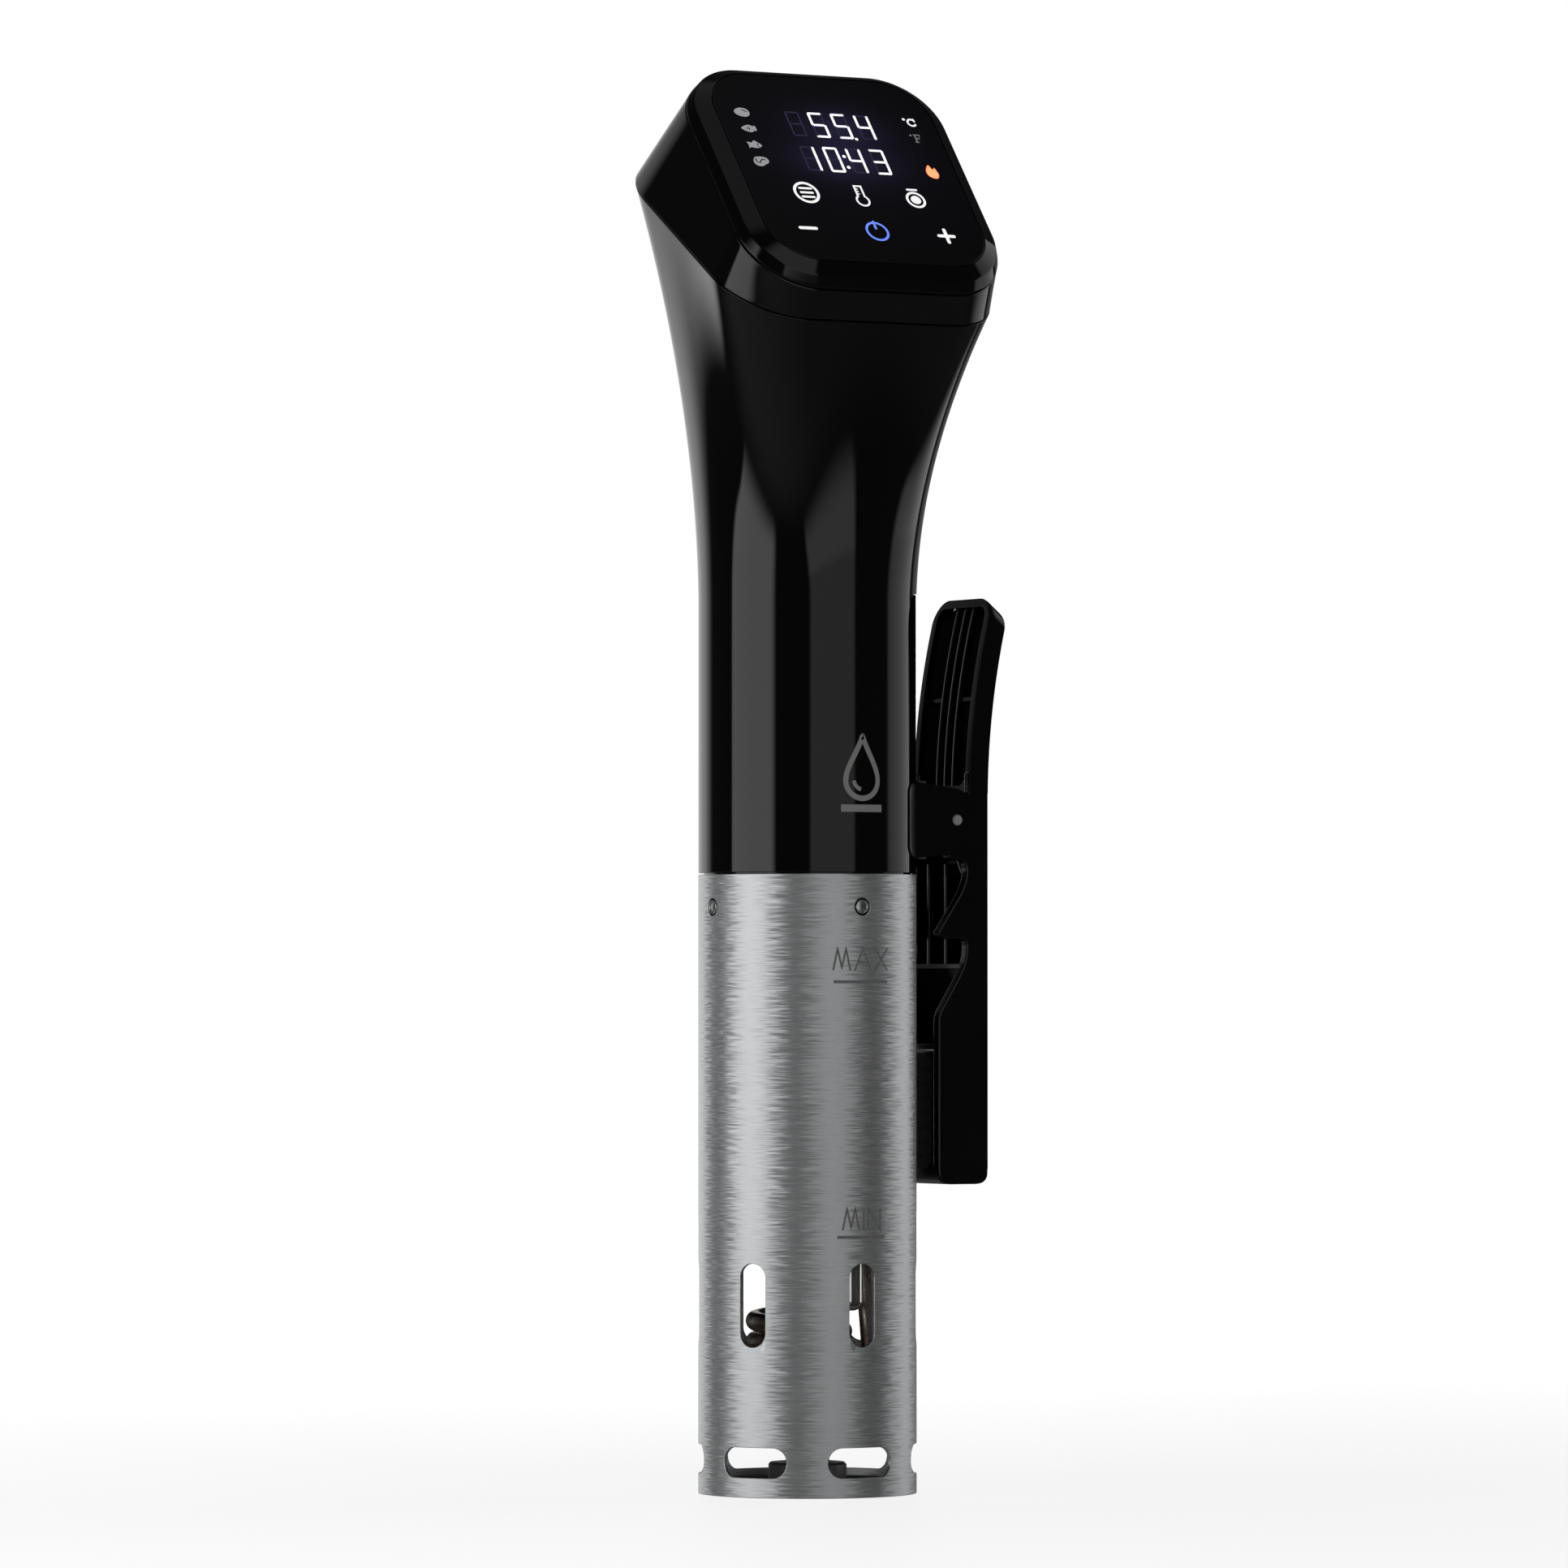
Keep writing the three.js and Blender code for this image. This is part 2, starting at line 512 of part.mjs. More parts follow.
function seamRing(inset, lift) {
  const cy = (SEAM.yMin + SEAM.yMax) / 2;
  const hy = (SEAM.yMax - SEAM.yMin) / 2 - inset;
  return roundedOutline(SEAM.hx - inset, hy, SEAM.r - inset).map(([x, y]) =>
    new THREE.Vector3(x, y + cy, seamZ(y + cy) + lift));
}

function headShell() {
  const b = BEZEL_BASE;
  const w = HEAD_WALL;
  return loft([seamRing(0.9, GAP / 2), seamRing(0, 1.2),
    panelRing(b.hx, b.hv, b.r, b.depth + GAP / 2, b.shift),
    panelRing(b.hx - w, b.hv - w, b.r - w, b.depth + GAP / 2, b.shift),
    seamRing(w + 0.6, GAP / 2)], true);
}

function bezel() {
  const b = BEZEL_BASE;
  const base = b.depth - GAP / 2;
  const seat = [GLASS.hx + GAP, GLASS.hv + GAP, GLASS.r + GAP];
  const ledge = GLASS.thick + GAP;
  return loft([panelRing(b.hx, b.hv, b.r, base, b.shift),
    panelRing(BEVEL.hx, BEVEL.hv, BEVEL.r, BEVEL.depth),
    panelRing(...seat, 0), panelRing(...seat, ledge),
    panelRing(31.5, 32, 11.5, ledge), panelRing(31.5, 32, 11.5, base)], true);
}

const panelSlab = (hx, hv, r, from, to, v = 0) =>
  onPanel(slabZ(roundedShape(hx, hv, r), -to, -from).translate(0, v, 0));

piece(housing, 'head_shell', headShell(), GLOSS);
piece(housing, 'bezel', bezel(), GLOSS);
piece(housing, 'glass_panel', panelSlab(GLASS.hx, GLASS.hv, GLASS.r, 0, GLASS.thick), SCREEN);
piece(housing, 'led_module', panelSlab(22, 15, 1, 1.5, 2.9, 10), WHITE_PLASTIC);
piece(housing, 'display_board', panelSlab(30.5, 31, 11, 3.3, 4.8), BOARD);
piece(housing, 'buzzer', onPanel(bush([14, -14], 1.2, 6, -9.4, -5.2)), SATIN);

// ---------------------------------------------------------------- electronics in the neck
function heatsink() {
  const [low, high, width, thick, fins] = [262, 300, 30, 2, 6];
  const pitch = (width - thick) / (fins - 1);
  const base = block(-width / 2, width / 2, -9.4, -7.4, low, high);
  const blades = Array.from({ length: fins }, (_, k) => {
    const x = pitch * k - width / 2;
    return block(x, x + thick, -15.4, -7.6, low, high);
  });
  return join(base, ...blades);
}

piece(housing, 'main_board', block(-17, 17, 8, 9.6, 250, 322), BOARD);
piece(housing, 'triac_heatsink', heatsink(), ALUMINIUM);
piece(housing, 'power_triac', block(-5.2, 5.2, -7.1, -2.6, 274, 290), SATIN);
piece(housing, 'transformer', block(-10, 8, -2, 7.7, 298, 316), WHITE_PLASTIC);
piece(housing, 'relay', block(-12, 4, 0.5, 7.7, 254, 272), WHITE_PLASTIC);
piece(housing, 'filter_capacitor', rodY(10.8, 264, 5.2, -6, 7.7, 14), SATIN);

// ---------------------------------------------------------------- lever
const leverBack = (z) => LEVER.x + LEVER.bend * Math.max(0, z - LEVER.bendZ) ** 2;

// A strip of the lever between two depths in from its back face, from z0 to z1.
function leverStrip(in0, in1, z0, z1) {
  const steps = z1 > LEVER.bendZ ? 8 : 1;
  const low = Math.max(z0, Math.min(LEVER.bendZ, z1 - 1));
  const heights = [];
  if (z0 < low) heights.push(z0);
  for (let k = 0; k <= steps; k += 1) {
    heights.push(low + ((z1 - low) * k) / steps);
  }
  const side = (depth) => heights.map((z) => [leverBack(z) - depth, z]);
  return shapeOf([...side(in0), ...side(in1).reverse()]);
}

// Inner edge of the lower jaw's side walls, from the pin down, with its two notches.
const JAW_EDGE = [[43.4, 198], [36.5, 192.5], [34.0, 189.0], [33.4, 184.7], [34.0, 180.4],
  [36.3, 174.3], [40.4, 173.4], [41.9, 170.5], [41.2, 167.5], [34.0, 155.0], [32.8, 153.6],
  [33.4, 152.6], [35.9, 152.0], [40.6, 151.2], [41.9, 148.9], [41.2, 146.0], [33.9, 132.8],
  [33.0, 130.6], [33.0, 88.4], [34.2, 85.6], [37.0, LEVER.bottom]];

// The lower jaw: two notched side walls closed by a foot, a wall for the pad, a shelf and ribs.
function lowerJaw() {
  const { half, wall, bottom, x } = LEVER;
  const heel = [[45.5, bottom], [48.0, 85.6], [x, 88.6]];
  const side = shapeOf([...JAW_EDGE, ...heel, [x, 198]]);
  const foot = shapeOf([[33.0, 88.4], [34.2, 85.6], [37.0, bottom], ...heel, [x, 91], [46.5, 91],
    [46.5, 87.2], [33.0, 88.4]]);
  return [
    slabY(side, -half, wall - half),
    slabY(side, half - wall, half),
    slabY(foot, -half, half),
    block(34.6, 36.8, -half, half, 86.4, 122.5),
    block(33.0, 47, -half, half, 121.2, 123.2),
    block(40.5, 47, -half, half, 143.8, 145.2),
    ...[-4.6, 4.6].map((y) => block(41.4, 47, y - 0.7, y + 0.7, 144.6, 173)),
  ];
}

// The grip above the pin: a shallow tray open towards the body, with three ribs and a cross web.
function gripTray() {
  const { half, plate, arm, rim, top } = LEVER;
  const [from, sunk] = [193, plate - 0.2];
  const pocket = slabY(leverStrip(sunk, arm + 2, from - 3, top - rim), rim - half, half - rim);
  const rib = leverStrip(sunk, arm - 1.0, from, top - 1);
  return [
    cut(slabY(leverStrip(0, arm, from, top), -half, half), pocket),
    ...[-4.2, 0, 4.2].map((y) => slabY(rib, y - 0.6, y + 0.6)),
    slabY(leverStrip(sunk, arm - 1.6, 217.9, 219.1), 0.5 - half, half - 0.5),
  ];
}

function clampLever() {
  const { half, plate, top } = LEVER;
  const backPlate = slabY(leverStrip(0, plate, 88.5, top), -half, half);
  const whole = join(backPlate, ...lowerJaw(), ...gripTray());
  const roundedTop = slabX(roundedShape(half, 82, 6.5, 5), 30, 62).translate(0, 0, top - 82);
  const trim = join(roundedTop, block(30, 62, -half - 1, half + 1, 80, 200));
  const pinHole = rodY(CLAMP.pinX, CLAMP.pinZ, CLAMP.pinR + GAP, -20, 20);
  const drain = rod(41.5, 0, 2.2, 80, 95, 12);
  return cut(common(whole, trim), pinHole, drain);
}

// A torsion spring round the pin, one leg on the lever and one towards the body.
function clampSpring() {
  const { coilR, half, turns, wireR } = SPRING;
  const points = [];
  const add = (x, y, z) => points.push(new THREE.Vector3(x, y, z));
  add(45.4, -half, 170.5);
  add(43.2, -half, 176.5);
  for (let k = 0; k <= turns * 8; k += 1) {
    const a = (2 * Math.PI * k) / 8;
    add(CLAMP.pinX + coilR * Math.cos(a), -half + (2 * half * k) / (turns * 8),
      CLAMP.pinZ + coilR * Math.sin(a));
  }
  add(39.4, half, 189.0);
  add(36.4, half, 193.2);
  return tubeAlong(points, wireR, 5, 44);
}

const jawPad = slabX(roundedShape(10.6, 16, 3, 4), 32.8, 34.3).translate(0, 0, JAW_PAD_Z);

piece(lever, 'clamp_lever', clampLever(), SATIN);
piece(lever, 'jaw_pad', jawPad, RUBBER);
piece(lever, 'clamp_spring', clampSpring(), STEEL);

export default circulator;
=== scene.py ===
"""Looks of the sous vide circulator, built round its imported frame.

Shapes are worked out in millimetres in the frame's own axes (+Z up, -Y the display side, +X the
clamp side, origin on the tube axis at the bottom rim) and turned into metres as each mesh is made.
"""
import json
import math

import bmesh
import bpy
from mathutils import Matrix, Vector
from mathutils.geometry import delaunay_2d_cdt


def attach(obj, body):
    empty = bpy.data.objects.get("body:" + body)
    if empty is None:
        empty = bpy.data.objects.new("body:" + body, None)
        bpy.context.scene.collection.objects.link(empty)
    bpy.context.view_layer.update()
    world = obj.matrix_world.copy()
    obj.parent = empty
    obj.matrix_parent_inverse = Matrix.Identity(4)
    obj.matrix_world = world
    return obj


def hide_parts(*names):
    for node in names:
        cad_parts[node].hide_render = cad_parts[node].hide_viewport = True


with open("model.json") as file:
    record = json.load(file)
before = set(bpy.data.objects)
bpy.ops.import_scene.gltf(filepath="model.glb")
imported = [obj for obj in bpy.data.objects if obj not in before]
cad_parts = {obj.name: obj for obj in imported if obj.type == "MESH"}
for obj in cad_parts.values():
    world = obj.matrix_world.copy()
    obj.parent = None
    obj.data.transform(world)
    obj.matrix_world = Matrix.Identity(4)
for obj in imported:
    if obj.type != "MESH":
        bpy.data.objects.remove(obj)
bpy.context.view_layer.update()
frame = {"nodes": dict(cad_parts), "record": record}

# ------------------------------------------------------------------ driving dimensions, mm
MM = 0.001
AROUND = 192                 # facets round the body and head
HOUSING, LEVER_BODY = "housing", "clamp_lever_body"

TUBE_R = 30.0
SKIRT_TOP, SKIRT_WALL = 169.6, 1.0
TALL_SLOT = dict(z=52.2, width=7.8, height=22.7)
WIDE_SLOT = dict(z=9.5, width=20.0, height=8.2)
SLOT_COUNT = 6
SCREW_Z, SCREW_HOLE_R = 160.6, 2.4

BODY_BOTTOM, FLARE_Z, FLARE_POWER = 170.0, 243.0, 1.85
SEAM = dict(hx=43.0, y_min=-41.6, y_max=36.1, r=20.5, z=318.74, slope=0.63, inset=0.35)
PANEL = dict(tilt=math.radians(51), y=-22.6, z=362.1)
GLASS = dict(hx=34.4, hv=34.9, r=14.0, thick=1.0)
BEVEL = dict(hx=39.2, hv=38.5, r=18.3, depth=2.2)
BEZEL_BASE = dict(hx=40.8, hv=40.0, r=20.3, depth=5.3, shift=-0.9)
GAP = 0.3                                     # clearance between neighbouring pieces
HALF_SEAM = 0.19                              # half the width of the grooves between the shells

PAD_HALF_ANGLE, PAD_TOP = 50.5, 246.4
PIN = dict(x=37.1, z=184.7, r=1.5, hole_r=1.8)
EAR = dict(inner=15.7, outer=18.2, x_end=41.6, top=195.4, bottom=174.0)
LEVER = dict(half=15.1, wall=3.0, x=48.9, bottom=84.4, top=246.5, bend_z=190.0, bend=0.00242,
             plate=2.4, arm=6.0, rim=2.3)
RIB_PITCH = 4.2


# ------------------------------------------------------------------ mesh helpers
def new_mesh(name, verts, faces):
    """A mesh in metres from millimetre points, welded, with its faces turned outwards."""
    mesh = bpy.data.meshes.new(name)
    mesh.from_pydata([(x * MM, y * MM, z * MM) for x, y, z in verts], [], faces)
    bm = bmesh.new()
    bm.from_mesh(mesh)
    bmesh.ops.remove_doubles(bm, verts=bm.verts, dist=1e-6)
    bmesh.ops.recalc_face_normals(bm, faces=bm.faces)
    bm.to_mesh(mesh)
    bm.free()
    return mesh


def placed(name, data):
    """A new object of the scene."""
    obj = bpy.data.objects.new(name, data)
    bpy.context.collection.objects.link(obj)
    return obj


def bevelled(mesh, width, segments=2, angle=30):
    """Rounds every edge of the mesh that turns by more than angle degrees."""
    bm = bmesh.new()
    bm.from_mesh(mesh)
    edges = [e for e in bm.edges if e.is_manifold and e.calc_face_angle(0) > math.radians(angle)]
    bmesh.ops.bevel(bm, geom=edges, offset=width * MM, offset_type="OFFSET", segments=segments,
                    profile=0.6, affect="EDGES", clamp_overlap=True)
    bm.to_mesh(mesh)
    bm.free()
    return mesh


def boolean(mesh, others, operation):
    """Joins the other meshes to this one, or cuts them from it."""
    base = placed("boolean_base", mesh)
    for other in others:
        step = base.modifiers.new("step", "BOOLEAN")
        step.operation, step.object, step.solver = operation, placed("boolean_tool", other), "EXACT"
    graph = bpy.context.evaluated_depsgraph_get()
    result = bpy.data.meshes.new_from_object(base.evaluated_get(graph))
    for step in list(base.modifiers):
        bpy.data.objects.remove(step.object, do_unlink=True)
    bpy.data.objects.remove(base, do_unlink=True)
    return result


def add_piece(name, mesh, material, body, slot, replaces=(), smooth=32, round_tube=None):
    """Places a mesh as a piece of the object: it rides on a body and takes the given material; the slot
    argument is not used.

    A tube about Z, given as its (inner, outer) radii, gets normals square to its axis on both walls."""
    obj = placed(name, mesh)
    mesh.materials.clear()
    mesh.materials.append(material)
    for polygon in mesh.polygons:
        polygon.use_smooth = True
    mesh.set_sharp_from_angle(angle=math.radians(smooth))
    if round_tube:
        mesh.normals_split_custom_set(tube_normals(mesh, *round_tube))
    else:
        normals = obj.modifiers.new("face_weighted_normals", "WEIGHTED_NORMAL")
        normals.keep_sharp, normals.weight = True, 80
    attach(obj, body)
    if replaces:
        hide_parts(*replaces)
    return obj


def stand_in(name, mesh, material, slot, body=HOUSING, **how):
    """Adds a mesh in place of the CAD node of this name."""
    add_piece(name + "_hi", mesh, MATERIALS[material], body, slot, [name], **how)


def tube_normals(mesh, inner, outer):
    """A normal for each face corner: radial on the tube's two walls, the face's own elsewhere."""
    normals = []
    for polygon in mesh.polygons:
        radii = [mesh.vertices[i].co.xy.length / MM for i in polygon.vertices]
        side = 1 if min(radii) > outer - 0.001 else -1 if max(radii) < inner + 0.001 else 0
        for i in polygon.vertices:
            across = mesh.vertices[i].co.xy.normalized() * side
            normals.append((*across, 0) if side else tuple(polygon.normal))
    return normals


def loft(name, rings, wall=True):
    """A skin through rings of points of equal length: closed on itself, or a capped solid."""
    n = len(rings[0])
    faces = []
    for i in range(len(rings) if wall else len(rings) - 1):
        low, high = i * n, (i + 1) % len(rings) * n
        faces += [(low + k, low + (k + 1) % n, high + (k + 1) % n, high + k) for k in range(n)]
    if not wall:
        faces += [tuple(range(n)), tuple(range((len(rings) - 1) * n, len(rings) * n))]
    return new_mesh(name, [p for ring in rings for p in ring], faces)


def arc(x, y, r, start, end, steps):
    """Points along part of a circle in a plane, both ends included, angles in degrees."""
    return [(x + r * math.cos(a), y + r * math.sin(a)) for a in
            (math.radians(start + (end - start) * k / steps) for k in range(steps + 1))]


def round_outline(x, y, r, n=32):
    """Points round a whole circle in a plane."""
    return arc(x, y, r, 0, 360, n)[:-1]


def turned(name, profile, n=48, closed=False):
    """A mesh of revolution about Z from [radius, z] points; a closed profile misses the axis."""
    rings = [[(x, y, z) for x, y in round_outline(0, 0, r, n)] for r, z in profile]
    return loft(name, rings, wall=closed)


def prism(name, outline, axis, low, high):
    """An outline given a thickness along one axis; the outline's own axes follow in X, Y, Z order."""
    def put(u, v, w):
        return {"x": (w, u, v), "y": (u, w, v), "z": (u, v, w)}[axis]
    rings = [[put(u, v, w) for u, v in outline] for w in (low, high)]
    return loft(name, rings, wall=False)


def box(name, x, y, z):
    """A block from three (low, high) pairs."""
    corners = [(x[0], y[0]), (x[1], y[0]), (x[1], y[1]), (x[0], y[1])]
    return prism(name, corners, "z", *z)


def moved(mesh, matrix):
    """The mesh after a turn or a shift given in millimetres."""
    matrix = matrix.copy()
    matrix.translation *= MM
    mesh.transform(matrix)
    return mesh


def swept(name, path, radius, sides=14):
    """A round tube along a list of points, with closed ends."""
    points = [Vector(p) for p in path]
    side = (points[1] - points[0]).orthogonal().normalized()
    rings = []
    for i, p in enumerate(points):
        ahead = (points[min(i + 1, len(points) - 1)] - points[max(i - 1, 0)]).normalized()
        side = (side - ahead * side.dot(ahead)).normalized()
        other = ahead.cross(side)
        rings.append([tuple(p + radius * (side * math.cos(a) + other * math.sin(a)))
                      for a in (2 * math.pi * k / sides for k in range(sides))])
    return loft(name, rings, wall=False)


def spline(a, b, c, d, steps):
    """Catmull-Rom points from b up to c, with a before them and d after."""
    return [0.5 * (2 * b + (c - a) * t + (2 * a - 5 * b + 4 * c - d) * t * t
                   + (3 * b - a - 3 * c + d) * t ** 3) for t in (k / steps for k in range(steps))]


def smooth_path(points, steps=8):
    """A smooth open path through a list of points."""
    p = [Vector(q) for q in points]
    p = [2 * p[0] - p[1], *p, 2 * p[-1] - p[-2]]
    out = []
    for four in zip(p, p[1:], p[2:], p[3:]):
        out += spline(*four, steps)
    return [*out, p[-2]]


def rounded(hx, hy, r, steps=24):
    """Points round a rounded rectangle, anticlockwise from its +x side."""
    points = []
    for sx, sy, start in ((1, 1, 0), (-1, 1, 90), (-1, -1, 180), (1, -1, 270)):
        points += arc(sx * (hx - r), sy * (hy - r), r, start, start + 90, steps)
    return points


# ------------------------------------------------------------------ materials
def shader(name, **inputs):
    """A new material and its Principled shader, with constants set on the shader's own sockets."""
    material = bpy.data.materials.new(name)
    material.use_nodes = True
    bsdf = material.node_tree.nodes["Principled BSDF"]
    for socket, value in inputs.items():
        bsdf.inputs[socket.replace("_", " ")].default_value = value
    return material, bsdf, material.node_tree


def node(tree, kind, links=None, **settings):
    """Adds a node, sets its properties or numbered inputs, and links what feeds it."""
    made = tree.nodes.new(kind)
    for key, value in settings.items():
        if key.startswith("in_"):
            made.inputs[int(key[3:])].default_value = value
        else:
            setattr(made, key, value)
    for index, source in (links or {}).items():
        tree.links.new(source, made.inputs[index])
    return made


def stretched_noise(tree, scale, noise_scale, detail=3.0):
    """Noise in the object's own coordinates, stretched by a scale for each axis."""
    place = node(tree, "ShaderNodeTexCoord").outputs["Object"]
    mapped = node(tree, "ShaderNodeVectorMath", {0: place}, operation="MULTIPLY", in_1=scale)
    noise = node(tree, "ShaderNodeTexNoise", {0: mapped.outputs[0]})
    noise.inputs["Scale"].default_value = noise_scale
    noise.inputs["Detail"].default_value = detail
    return noise.outputs[0]


def ramp(tree, source, low, high, to_low, to_high):
    """Maps a value from one range to another."""
    return node(tree, "ShaderNodeMapRange", {0: source}, in_1=low, in_2=high, in_3=to_low,
                in_4=to_high).outputs[0]


def bump(tree, source, strength, distance):
    return node(tree, "ShaderNodeBump", {"Height": source}, in_0=strength, in_1=distance).outputs[0]


def maths(tree, operation, value, other=None):
    """One sum on a value, with a second value or a plain number."""
    if isinstance(other, (int, float)):
        return node(tree, "ShaderNodeMath", {0: value}, operation=operation, in_1=other).outputs[0]
    links = {0: value, 1: other} if other else {0: value}
    return node(tree, "ShaderNodeMath", links, operation=operation).outputs[0]


def soft_step(tree, value, start, end, before=0.0, after=1.0):
    """Eases from one level to another as the value goes from start to end."""
    return node(tree, "ShaderNodeMapRange", {0: value}, in_1=start, in_2=end, in_3=before, in_4=after,
                interpolation_type="SMOOTHSTEP").outputs[0]


def along(tree, vector, way):
    """How far a vector reaches in a fixed direction."""
    return node(tree, "ShaderNodeVectorMath", {0: vector}, operation="DOT_PRODUCT",
                in_1=way).outputs["Value"]


def feed(tree, shader_node, **sources):
    """Links what drives a shader to its sockets."""
    for socket, source in sources.items():
        tree.links.new(source, shader_node.inputs[socket.replace("_", " ")])


def colour_mix(tree, factor, first, second):
    mix = node(tree, "ShaderNodeMix", {0: factor}, data_type="RGBA")
    mix.inputs[6].default_value = (*first, 1)
    mix.inputs[7].default_value = (*second, 1)
    return mix.outputs[2]


def plastic(name, colour, roughness, grain, grain_size, spread=0.06, shine=0.5):
    """Moulded plastic or rubber: fine grain in the surface and slight unevenness of gloss."""
    material, bsdf, tree = shader(name, Roughness=roughness, Specular_IOR_Level=shine)
    cloud = stretched_noise(tree, (1, 1, 1), 45.0)
    fine = stretched_noise(tree, (1, 1, 1), 1000.0 / grain_size, 2.0)
    darker = tuple(c * 0.82 for c in colour)
    feed(tree, bsdf, Base_Color=colour_mix(tree, cloud, darker, colour),
         Roughness=ramp(tree, cloud, 0.3, 0.7, roughness - spread / 2, roughness + spread / 2),
         Normal=bump(tree, fine, grain, 0.0001))
    return material


def brushed_steel(name="brushed_steel"):
    """Steel brushed round the tube: short lines that each throw the reflection to one side."""
    material, bsdf, tree = shader(name, Metallic=1.0, Roughness=0.4)
    lines = stretched_noise(tree, (45, 45, 1400), 1.0, 4.0)
    dashes = stretched_noise(tree, (170, 170, 4200), 1.0, 3.0)
    tone = colour_mix(tree, ramp(tree, lines, 0.3, 0.7, 0, 1), (0.66, 0.67, 0.68), (0.74, 0.75, 0.76))
    shape = node(tree, "ShaderNodeNewGeometry").outputs["Normal"]
    across = node(tree, "ShaderNodeVectorMath", {0: shape}, operation="CROSS_PRODUCT",
                  in_1=(0, 0, 1)).outputs[0]
    throw = ramp(tree, dashes, 0.25, 0.75, -0.15, 0.15)
    lean = node(tree, "ShaderNodeVectorMath", {0: across, "Scale": throw}, operation="SCALE")
    bent = node(tree, "ShaderNodeVectorMath", {0: shape, 1: lean.outputs[0]}, operation="ADD")
    bent = node(tree, "ShaderNodeVectorMath", {0: bent.outputs[0]}, operation="NORMALIZE")
    ridge = node(tree, "ShaderNodeBump", {"Height": lines, "Normal": bent.outputs[0]},
                 in_0=0.2, in_1=0.00003)
    feed(tree, bsdf, Base_Color=tone, Roughness=ramp(tree, lines, 0.3, 0.7, 0.39, 0.43),
         Normal=ridge.outputs[0])
    return material


def metal(name, colour, roughness, streak=(300, 300, 300), tint=None):
    """Turned or drawn metal with faint streaks, and an optional heat tint in clouds."""
    material, bsdf, tree = shader(name, Metallic=1.0, Roughness=roughness)
    streaks = stretched_noise(tree, streak, 1.0, 3.0)
    clouds = stretched_noise(tree, (1, 1, 1), 90.0)
    feed(tree, bsdf, Base_Color=colour_mix(tree, clouds, tint or tuple(0.85 * c for c in colour), colour),
         Roughness=ramp(tree, streaks, 0.3, 0.7, roughness * 0.75, roughness * 1.3),
         Normal=bump(tree, streaks, 0.15, 0.00005))
    return material


def gloss_black(name="gloss_black"):
    """Polished black plastic: a clean mirror gloss with the faintest waviness and dust."""
    material, bsdf, tree = shader(name, Roughness=0.045, IOR=1.5)
    wave = stretched_noise(tree, (1, 1, 0.6), 26.0, 1.0)
    dust = stretched_noise(tree, (1, 1, 1), 2600.0, 2.0)
    feed(tree, bsdf, Base_Color=colour_mix(tree, wave, (0.0004, 0.0004, 0.0005), (0.0007, 0.0007, 0.0008)),
         Roughness=ramp(tree, dust, 0.45, 0.8, 0.035, 0.07), Normal=bump(tree, wave, 0.02, 0.0004))
    return material


def panel_vector(tree):
    """x and v on the display panel in metres, from the object's own coordinates."""
    place = node(tree, "ShaderNodeTexCoord").outputs["Object"]
    centre = (0, PANEL["y"] * MM, PANEL["z"] * MM)
    local = node(tree, "ShaderNodeVectorMath", {0: place}, operation="SUBTRACT", in_1=centre)
    up = (0, math.cos(PANEL["tilt"]), math.sin(PANEL["tilt"]))
    return along(tree, local.outputs[0], (1, 0, 0)), along(tree, local.outputs[0], up)


def glow(tree, x, v, centre, size, peak):
    """A soft round glow on the panel: peak at the centre, falling off over size (mm)."""
    squares = []
    for value, middle, width in ((x, centre[0], size[0]), (v, centre[1], size[1])):
        away = maths(tree, "DIVIDE", maths(tree, "SUBTRACT", value, middle * MM), width * MM)
        squares.append(maths(tree, "POWER", away, 2.0))
    fall = maths(tree, "EXPONENT", maths(tree, "MULTIPLY", maths(tree, "ADD", *squares), -1.0))
    return maths(tree, "MULTIPLY", fall, peak)


def screen_glass(name="screen_glass"):
    """Dark tinted cover glass with the display's violet glow under it."""
    material, bsdf, tree = shader(name, Roughness=0.03, IOR=1.5)
    haze = stretched_noise(tree, (1, 1, 1), 60.0)
    x, v = panel_vector(tree)
    total = glow(tree, x, v, (2.5, 6.0), (28.0, 22.0), 0.004)
    for centre, size, peak in (((3.5, 15.9), (10.5, 6.0), 0.02), ((-0.5, 2.8), (14.0, 6.0), 0.022),
                               ((1.5, 9.0), (15.0, 13.0), 0.008)):
        total = maths(tree, "ADD", total, glow(tree, x, v, centre, size, peak))
    feed(tree, bsdf, Emission_Strength=total,
         Base_Color=colour_mix(tree, haze, (0.0016, 0.0016, 0.0022), (0.0024, 0.0024, 0.0032)))
    bsdf.inputs["Emission Color"].default_value = (0.42, 0.36, 1.0, 1)
    return material


def lit(name, colour, strength, uneven=0.06):
    """A lit mark under the glass, very slightly uneven along its strokes."""
    material, bsdf, tree = shader(name, Roughness=0.3, Base_Color=(0.02, 0.02, 0.02, 1))
    cloud = stretched_noise(tree, (1, 1, 1), 700.0)
    feed(tree, bsdf, Emission_Strength=ramp(tree, cloud, 0.3, 0.7, strength * (1 - uneven),
                                            strength * (1 + uneven)))
    bsdf.inputs["Emission Color"].default_value = (*colour, 1)
    return material


def printed(name, colour, roughness):
    """Printed or etched marking with a fine mottle."""
    material, bsdf, tree = shader(name, Roughness=roughness)
    cloud = stretched_noise(tree, (1, 1, 1), 900.0)
    feed(tree, bsdf, Base_Color=colour_mix(tree, cloud, tuple(0.86 * c for c in colour), colour))
    return material


